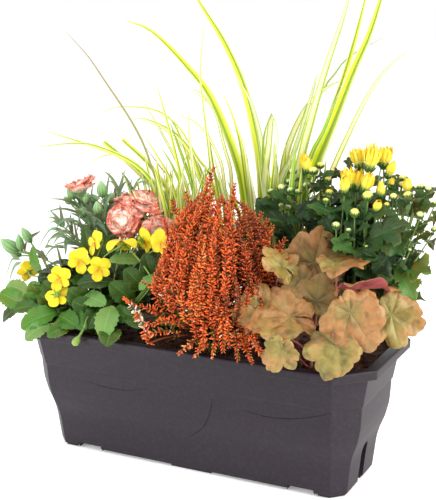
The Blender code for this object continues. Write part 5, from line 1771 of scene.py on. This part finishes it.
def make_chrysanthemum():
    rng = np.random.default_rng(71)
    veins = (4.0, 0.7)
    face = leaf_look("chrysanthemum_leaf", "081d0c", "3c6d27", "578648", veins)
    back = leaf_look("chrysanthemum_leaf_back", "2c5230", "7aa268", "93b883", veins, sheen=0.5)
    rays = Look("chrysanthemum_ray", Subsurface_Weight=0.25, Subsurface_Scale=0.003)
    low = rays.ramp(rays.place(1), (0.1, 0.55), (0.75, 0.0))
    shade = rays.mix(rays.ramp(rays.place(2), (0.1, 0.0), (0.9, 0.8)), "f2c400", "fdf25c")
    rays.paint(rays.mix(low, shade, "f4dd5a"))
    rays.rough(rays.noise(300.0), 0.5, 0.6)
    rays.bump(rays.stripes(rays.place(0), 3.0), 0.0003, 0.4)
    core = Look("chrysanthemum_bud", Roughness=0.55, Subsurface_Weight=0.2, Subsurface_Scale=0.003)
    tip = core.ramp(core.place(2), (0.2, "cfdd9c"), (0.6, "f0eb92"), (1.0, "f7dc20"))
    ribs = core.stripes(core.place(0), 9.0)
    shade = core.mix(core.ramp(core.place(1), (0.5, 0.0), (0.8, 1.0)), "6d963c", tip)
    core.paint(core.mix(core.times(ribs, 0.3), shade, "dfe7b6"))
    core.bump(ribs, 0.0004, 0.6)
    stem = stem_look("chrysanthemum_stem", "2f4d1e", "6d8f42")
    looks = [face, back, rays.material, core.material, stem]
    foliage, more = Growth(), Growth()

    def stalk(top, thick):
        away = top - MUM_CROWN
        foot = foot_near(rng, MUM_CROWN, 0.009, 0.009)
        path = bow(foot, (away[0] * 1.4, away[1] * 1.4, 0.14), top, 12)
        foliage.tube(path, np.linspace(thick * 1.3, thick * 0.7, 12), sides=5, slot=4,
                     tone=rng.uniform(0.1, 0.9))

    for number, (base, top, width, open_by) in enumerate(MUM_FLOWERS, 1):
        growth = Growth() if number < 6 else foliage
        mum_flower(growth, base, top, width, open_by, rng)
        if number < 6:
            growth.build(f"chrysanthemum_bloom_{number}", looks, "yellow_petal",
                         [f"chrysanthemum_flower_{number}"])
        stalk(mm(base) - [0, 0, width / 2600], 0.0011)
    for middle, width, yellow in MUM_BUDS:
        mum_bud(foliage, middle, width, yellow, rng)
        neck = mm(middle) - [0, 0, width / 2300]
        stalk(neck, 0.0010)
        for _ in range(2):
            turn = rng.uniform(0, 2 * math.pi)
            way = unit(np.array([math.cos(turn), 0.7 * math.sin(turn), rng.uniform(0.1, 0.8)]))
            start = neck - [0, 0, rng.uniform(0.006, 0.022)]
            tip = start + way * rng.uniform(0.016, 0.03)
            tip[1] = min(tip[1], BACK_LIMIT)
            mum_leaf(more, rng, start, tip, rng.uniform(0.1, 0.6), rng.uniform(0.009, 0.015),
                     way + [0, -0.5, 1.0], rng.uniform(0, 6), rows=14, cols=5)
    for base, tip, tone, width, way in MUM_LEAVES:
        mum_leaf(foliage, rng, mm(base), mm(tip), tone, width / 1000, way, rng.uniform(0, 6))
        stalk(mm(base), 0.0009)
    placed = 0
    while placed < MUM_FILLERS:
        out = outward(rng.uniform(0, 2 * math.pi), rng.uniform(-0.75, 1.3))
        share = rng.uniform(0.3, 0.7) if placed % 3 == 2 else rng.uniform(0.7, 1.0)
        tip = MUM_MIDDLE + out * MUM_REACH * share
        # The heather, the box's back and the coral bells keep their room.
        if tip[0] < 0.058 or tip[1] > 0.09 or tip[2] < 0.15 or (tip[1] < -0.02 and tip[2] < 0.24):
            continue
        if tip[0] > 0.19 and tip[2] > 0.3:
            continue
        length = rng.uniform(0.03, 0.046)
        lean = unit(out * [1, 1, 0.5] + [0, 0, rng.uniform(-0.4, 0.6)])
        base = tip - lean * length
        mum_leaf(foliage if placed % 2 else more, rng, base, tip, rng.uniform(0, 0.4),
                 rng.uniform(0.02, 0.032), out + [0, 0, 0.9], rng.uniform(0, 6), rows=19)
        if placed % 3 == 0:
            stalk(base, 0.0009)
        placed += 1
    foliage.build("chrysanthemum_plant", looks, "leaf", ["chrysanthemum_foliage"])
    more.build("chrysanthemum_more_leaves", looks, "leaf")


# ---- coral bells ------------------------------------------------------------------------

HEUCHERA_CROWN = mm((122, -29, 125))
# Hub, the way the face looks, the way the tip points, radius, cup, ruffle, then how lime, dark
# and rosy it is. Dark is partly the leaf's own tone and partly painted shade, high for leaves that
# lie in the shadow of others. The first eleven are the model's leaves, the others are hidden among
# them.
HEUCHERA_LEAVES = (
    ((121, -12, 224), (0.34, -0.9, 0.25), (0.2, 0.25, 1.0), 34, 0.1, 1.5, (0.3, 0.4, 1.0)),
    ((103, -42, 226), (0.6, -0.25, 0.75), (-0.7, -0.17, 0.68), 24, 0.1, 1.4, (0.6, 0.1, 0.3)),
    ((150, -30, 231), (0.0, -0.1, 1.0), (0.85, 0.4, 0.05), 28, 0.12, 1.2, (0.3, 0.1, 0.6)),
    ((171, -29, 209), (-0.1, 0.34, 0.93), (0.9, 0.4, 0.05), 38, 0.12, 1.2, (0.3, 0.0, 0.7)),
    ((133, -36, 194), (0.3, -0.85, 0.45), (0.05, 0.3, 1.0), 24, 0.2, 1.3, (0.8, 0.8, 0.3)),
    ((88, -62, 182), (0.1, -0.8, 0.5), (-0.7, -0.1, 0.6), 27, 0.1, 1.4, (0.75, 0.5, 0.2)),
    ((120, -66, 186), (0.24, -0.4, 0.88), (-0.95, -0.3, 0.0), 39, 0.06, 1.6, (0.3, 0.05, 0.6)),
    ((179, -68, 198), (0.42, -0.85, 0.35), (0.6, 0.1, -0.9), 33, 0.06, 1.5, (0.25, 0.36, 1.0)),
    ((197, -4, 180), (0.5, -0.8, 0.35), (0.6, 0.3, -0.4), 31, 0.08, 1.5, (0.85, 0.05, 0.1)),
    ((124, -97, 164), (0.3, -0.9, 0.3), (-0.35, -0.1, -1.0), 20, 0.14, 1.2, (0.8, 0.0, 1.0)),
    ((170, -76, 167), (0.3, -0.58, 0.76), (-0.35, -0.4, -0.8), 29, 0.08, 1.6, (0.95, 0.0, 0.7)),
    ((119, -38, 211), (0.1, -0.75, 0.6), (-0.9, -0.2, 0.4), 21, -0.1, 1.3, (0.6, 0.8, 0.3)),
    ((150, 20, 170), (0.1, 0.3, 1.0), (0.6, 0.7, 0.1), 26, 0.1, 1.4, (0.5, 0.4, 0.4)),
    ((96, -12, 172), (-0.3, -0.5, 0.8), (-0.8, 0.2, 0.2), 22, 0.1, 1.4, (0.5, 0.5, 0.3)),
    ((116, 4, 168), (0.4, -0.8, 0.4), (0.1, 0.3, 1.0), 20, 0.1, 1.2, (0.4, 0.9, 0.3)),
    ((179, 14, 190), (0.4, -0.8, 0.4), (-0.8, -0.3, 0.3), 18, 0.1, 1.2, (0.8, 0.5, 0.3)),
)
LEAF_SPREAD = math.radians(183)
LOBE = 0.27
SEEN_LEAVES = 11
LEAF_RINGS, LEAF_TURNS = 15, 119
SIDE_VEINS = 4.5


def heuchera_leaf(growth, rng, hub, face, forward, radius, cup, ruffle, mark):
    """A round leaf of seven shallow lobes with scalloped, ruffled margins and sunken veins."""
    across, ahead, out = axes(forward, face)
    v = np.linspace(0.0, 1, LEAF_RINGS) ** 0.85
    v[0] = 0.012
    u = np.linspace(-1, 1, LEAF_TURNS)
    v2, u2 = np.meshgrid(v, u, indexing="ij")
    angle = u * LEAF_SPREAD
    q = u / LOBE
    near = np.abs(q - np.round(q))
    number = np.round(q).astype(int) + 4
    deep, long = rng.uniform(0.05, 0.25, 10), rng.uniform(0.9, 1.08, 9)
    notch = np.where(q > np.round(q), deep[number + 1], deep[number])
    lobe = long[number] + (1 - long[number] - notch) * (2 * near) ** 3
    lag = rng.uniform(0, 6, 8)
    tooth = np.abs(np.cos(math.pi * (2.6 * q + 0.35 * np.sin(2.3 * q + lag[0])))) ** 0.6
    scallop = 1 + (0.05 + 0.025 * np.sin(3 * q + lag[1])) * (tooth - 0.7)
    size = 0.86 + 0.22 * np.cos(angle) - 0.08 * np.exp(-(((np.abs(u) - 1) / 0.08) ** 2))
    jitter = 1 + 0.05 * np.sin(4 * angle + lag[2]) + 0.03 * np.sin(7 * angle + lag[3])
    edge = radius * lobe * scallop * size * jitter
    reach = v2 * radius * (1 + (edge / radius - 1) * v2**0.8)
    wave = 0.085 * v2**2 * np.sin(2 * angle + lag[4]) + 0.06 * v2**3 * np.sin(3.4 * angle + lag[5])
    wave = wave + 0.05 * v2**4 * np.sin(5.7 * angle + lag[6])
    wave = wave + 0.035 * v2**6 * np.sin(10.3 * angle + lag[7])
    swell = 0.014 * np.sin(math.pi * v2) * (1 - np.cos(2 * math.pi * q))
    lift = radius * (cup * v2**1.6 - 0.10 * v2**6 + ruffle * wave + swell)
    away = near * LOBE * LEAF_SPREAD * reach
    lift = lift - 0.0005 * np.exp(-((away / 0.0014) ** 2)) * np.clip(v2 * 3, 0, 1)
    side = (SIDE_VEINS * v2 * (1 - near)) % 1
    side = np.minimum(side, 1 - side)
    lift = lift - 0.0004 * np.exp(-((side / 0.2) ** 2)) * np.clip(v2 * 2, 0, 1)
    lift = lift + 0.0014 * u2 * np.abs(u2) ** 9 * np.clip(v2 * 4, 0, 1)
    grid = hub + (reach * np.cos(angle))[..., None] * ahead
    grid = grid + (reach * np.sin(angle))[..., None] * across + lift[..., None] * out
    growth.sheet(grid, u2, v2, rng.uniform(0.3, 0.7), 0, thickness=0.0005, under=1,
                 mark=np.broadcast_to(mark, (*grid.shape[:2], 3)))


def heuchera_look(name, under):
    """Amber and olive, paler along the veins, salmon patches at the margin; rosy underneath."""
    look = Look(name, Subsurface_Weight=0.1, Subsurface_Scale=0.003)
    near = look.math("PINGPONG", look.math("DIVIDE", look.place(0), LOBE), 0.5)
    v = look.place(1)
    lime, dark, rosy = (look.split("mark", part) for part in range(3))
    width = look.times(near, v)
    main = look.ramp(width, (0.0, 1.0), (0.022, 0.0))
    run = look.times(look.times(v, SIDE_VEINS), look.math("SUBTRACT", 1.0, near))
    side = look.ramp(look.math("PINGPONG", run, 0.5), (0.0, 1.0), (0.07, 0.0))
    veins = look.math("MAXIMUM", look.times(main, look.ramp(v, (0.2, 1.0), (1.0, 0.35))),
                      look.times(side, 0.22))
    patch = look.noise(38.0, 3.0)
    blotch = look.noise(85.0, 3.0, distortion=0.6)
    fine = look.noise(260.0, 4.0)
    if under:
        shade = look.ramp(patch, (0.3, "8e3c48"), (0.6, "b8605c"), (0.8, "c48468"))
        look.paint(look.mix(look.times(veins, 0.5), shade, "d09a86"))
    else:
        amber = look.ramp(blotch, (0.3, "74461e"), (0.42, "a06c3c"), (0.56, "b98453"),
                          (0.7, "9c6c3a"))
        olive = look.ramp(blotch, (0.3, "5a581a"), (0.5, "827c36"), (0.7, "98924e"))
        share = look.line(patch, 2.6, -1.5)
        share = look.line(lime, 0.95, share)
        share = look.math("ADD", share, look.ramp(v, (0.0, 0.6), (0.75, 0.0)))
        share = look.math("ADD", share, look.ramp(width, (0.01, 0.22), (0.07, 0.0)))
        shade = look.mix(look.math("MAXIMUM", look.math("MINIMUM", share, 0.9), 0.05), amber, olive)
        flush = look.ramp(look.line(look.noise(30.0, 2.0), 1.2, v), (1.05, 0.0), (1.45, 1.0))
        shade = look.mix(look.times(look.times(flush, rosy), 0.8), shade, "b2664a")
        shade = look.mix(look.ramp(fine, (0.3, 0.3), (0.6, 0.0)), shade, "6f5a22")
        shade = look.mix(look.times(veins, 0.5), shade, "aaa468")
        rim = look.ramp(look.line(patch, 0.3, v), (1.03, 0.0), (1.2, 0.8))
        shade = look.mix(look.times(rim, look.math("MAXIMUM", rosy, 0.3)), shade, "a0523a")
        # Painted shade, partly: a leaf marked dark is darker all over and darkest round its hub,
        # for leaves in the shadow of others; the rest is the leaf's own darker tone.
        centre = look.times(look.ramp(v, (0.0, 1.0), (0.55, 0.0)), look.times(dark, 0.6))
        shade = look.mix(look.times(dark, 0.6), shade, "6b4a18")
        look.paint(look.mix(centre, shade, "2e2210"))
    look.rough(fine, 0.4, 0.58)
    look.bump(look.line(veins, -0.8, look.times(fine, 0.7)), 0.0006, 0.7)
    return look.material


def make_heuchera():
    rng = np.random.default_rng(91)
    looks = [heuchera_look("heuchera_face", False), heuchera_look("heuchera_back", True),
             stem_look("heuchera_stalk", "7a3340", "b06a5c")]
    rest = Growth()
    for number, (hub, face, forward, radius, cup, ruffle, mark) in enumerate(HEUCHERA_LEAVES, 1):
        growth = Growth() if number <= SEEN_LEAVES else rest
        hub = mm(hub)
        heuchera_leaf(growth, rng, hub, face, forward, radius / 1000, cup, ruffle, mark)
        out = unit(face)
        foot = foot_near(rng, HEUCHERA_CROWN, 0.012, 0.01)
        below = hub - out * 0.016 - [0, 0, 0.008]
        lift = foot * 0.5 + below * 0.5 + [0, 0, 0.006]
        path = through([foot, lift, below, hub - out * 0.0004], 18)
        growth.tube(path, np.linspace(0.0014, 0.0010, 18), sides=8, slot=2,
                    tone=rng.uniform(0.3, 0.9))
        if number <= SEEN_LEAVES:
            growth.build(f"heuchera_blade_{number}", looks, "heuchera_leaf",
                         [f"heuchera_leaf_{number}"])
    rest.build("heuchera_hidden_leaves", looks, "heuchera_leaf")


# ---- everything in its order ------------------------------------------------------------

make_camera()
make_studio()
make_box()
make_soil()
make_bark()
for plant, stems, seed in ROOTS:
    root_ball(plant + "_root_ball", plant + "_crown", stems, seed)
make_viola()
make_dianthus()
make_grass("fine_grass_blades", FINE_CROWN, FINE_GRASS,
           [f"fine_grass_blade_{k}" for k in range(1, 5)], ["fine_grass_tuft"],
           fillers=72, reach=(0.072, 0.05, 0.198), widths=(0.0055, 0.0092), seed=81)
make_grass("broad_grass_blades", BROAD_CROWN, BROAD_GRASS,
           [f"broad_grass_blade_{k}" for k in range(1, 9)], [],
           fillers=36, reach=(0.07, 0.045, 0.218), widths=(0.0062, 0.0112), seed=82)
make_heather()
make_chrysanthemum()
make_heuchera()
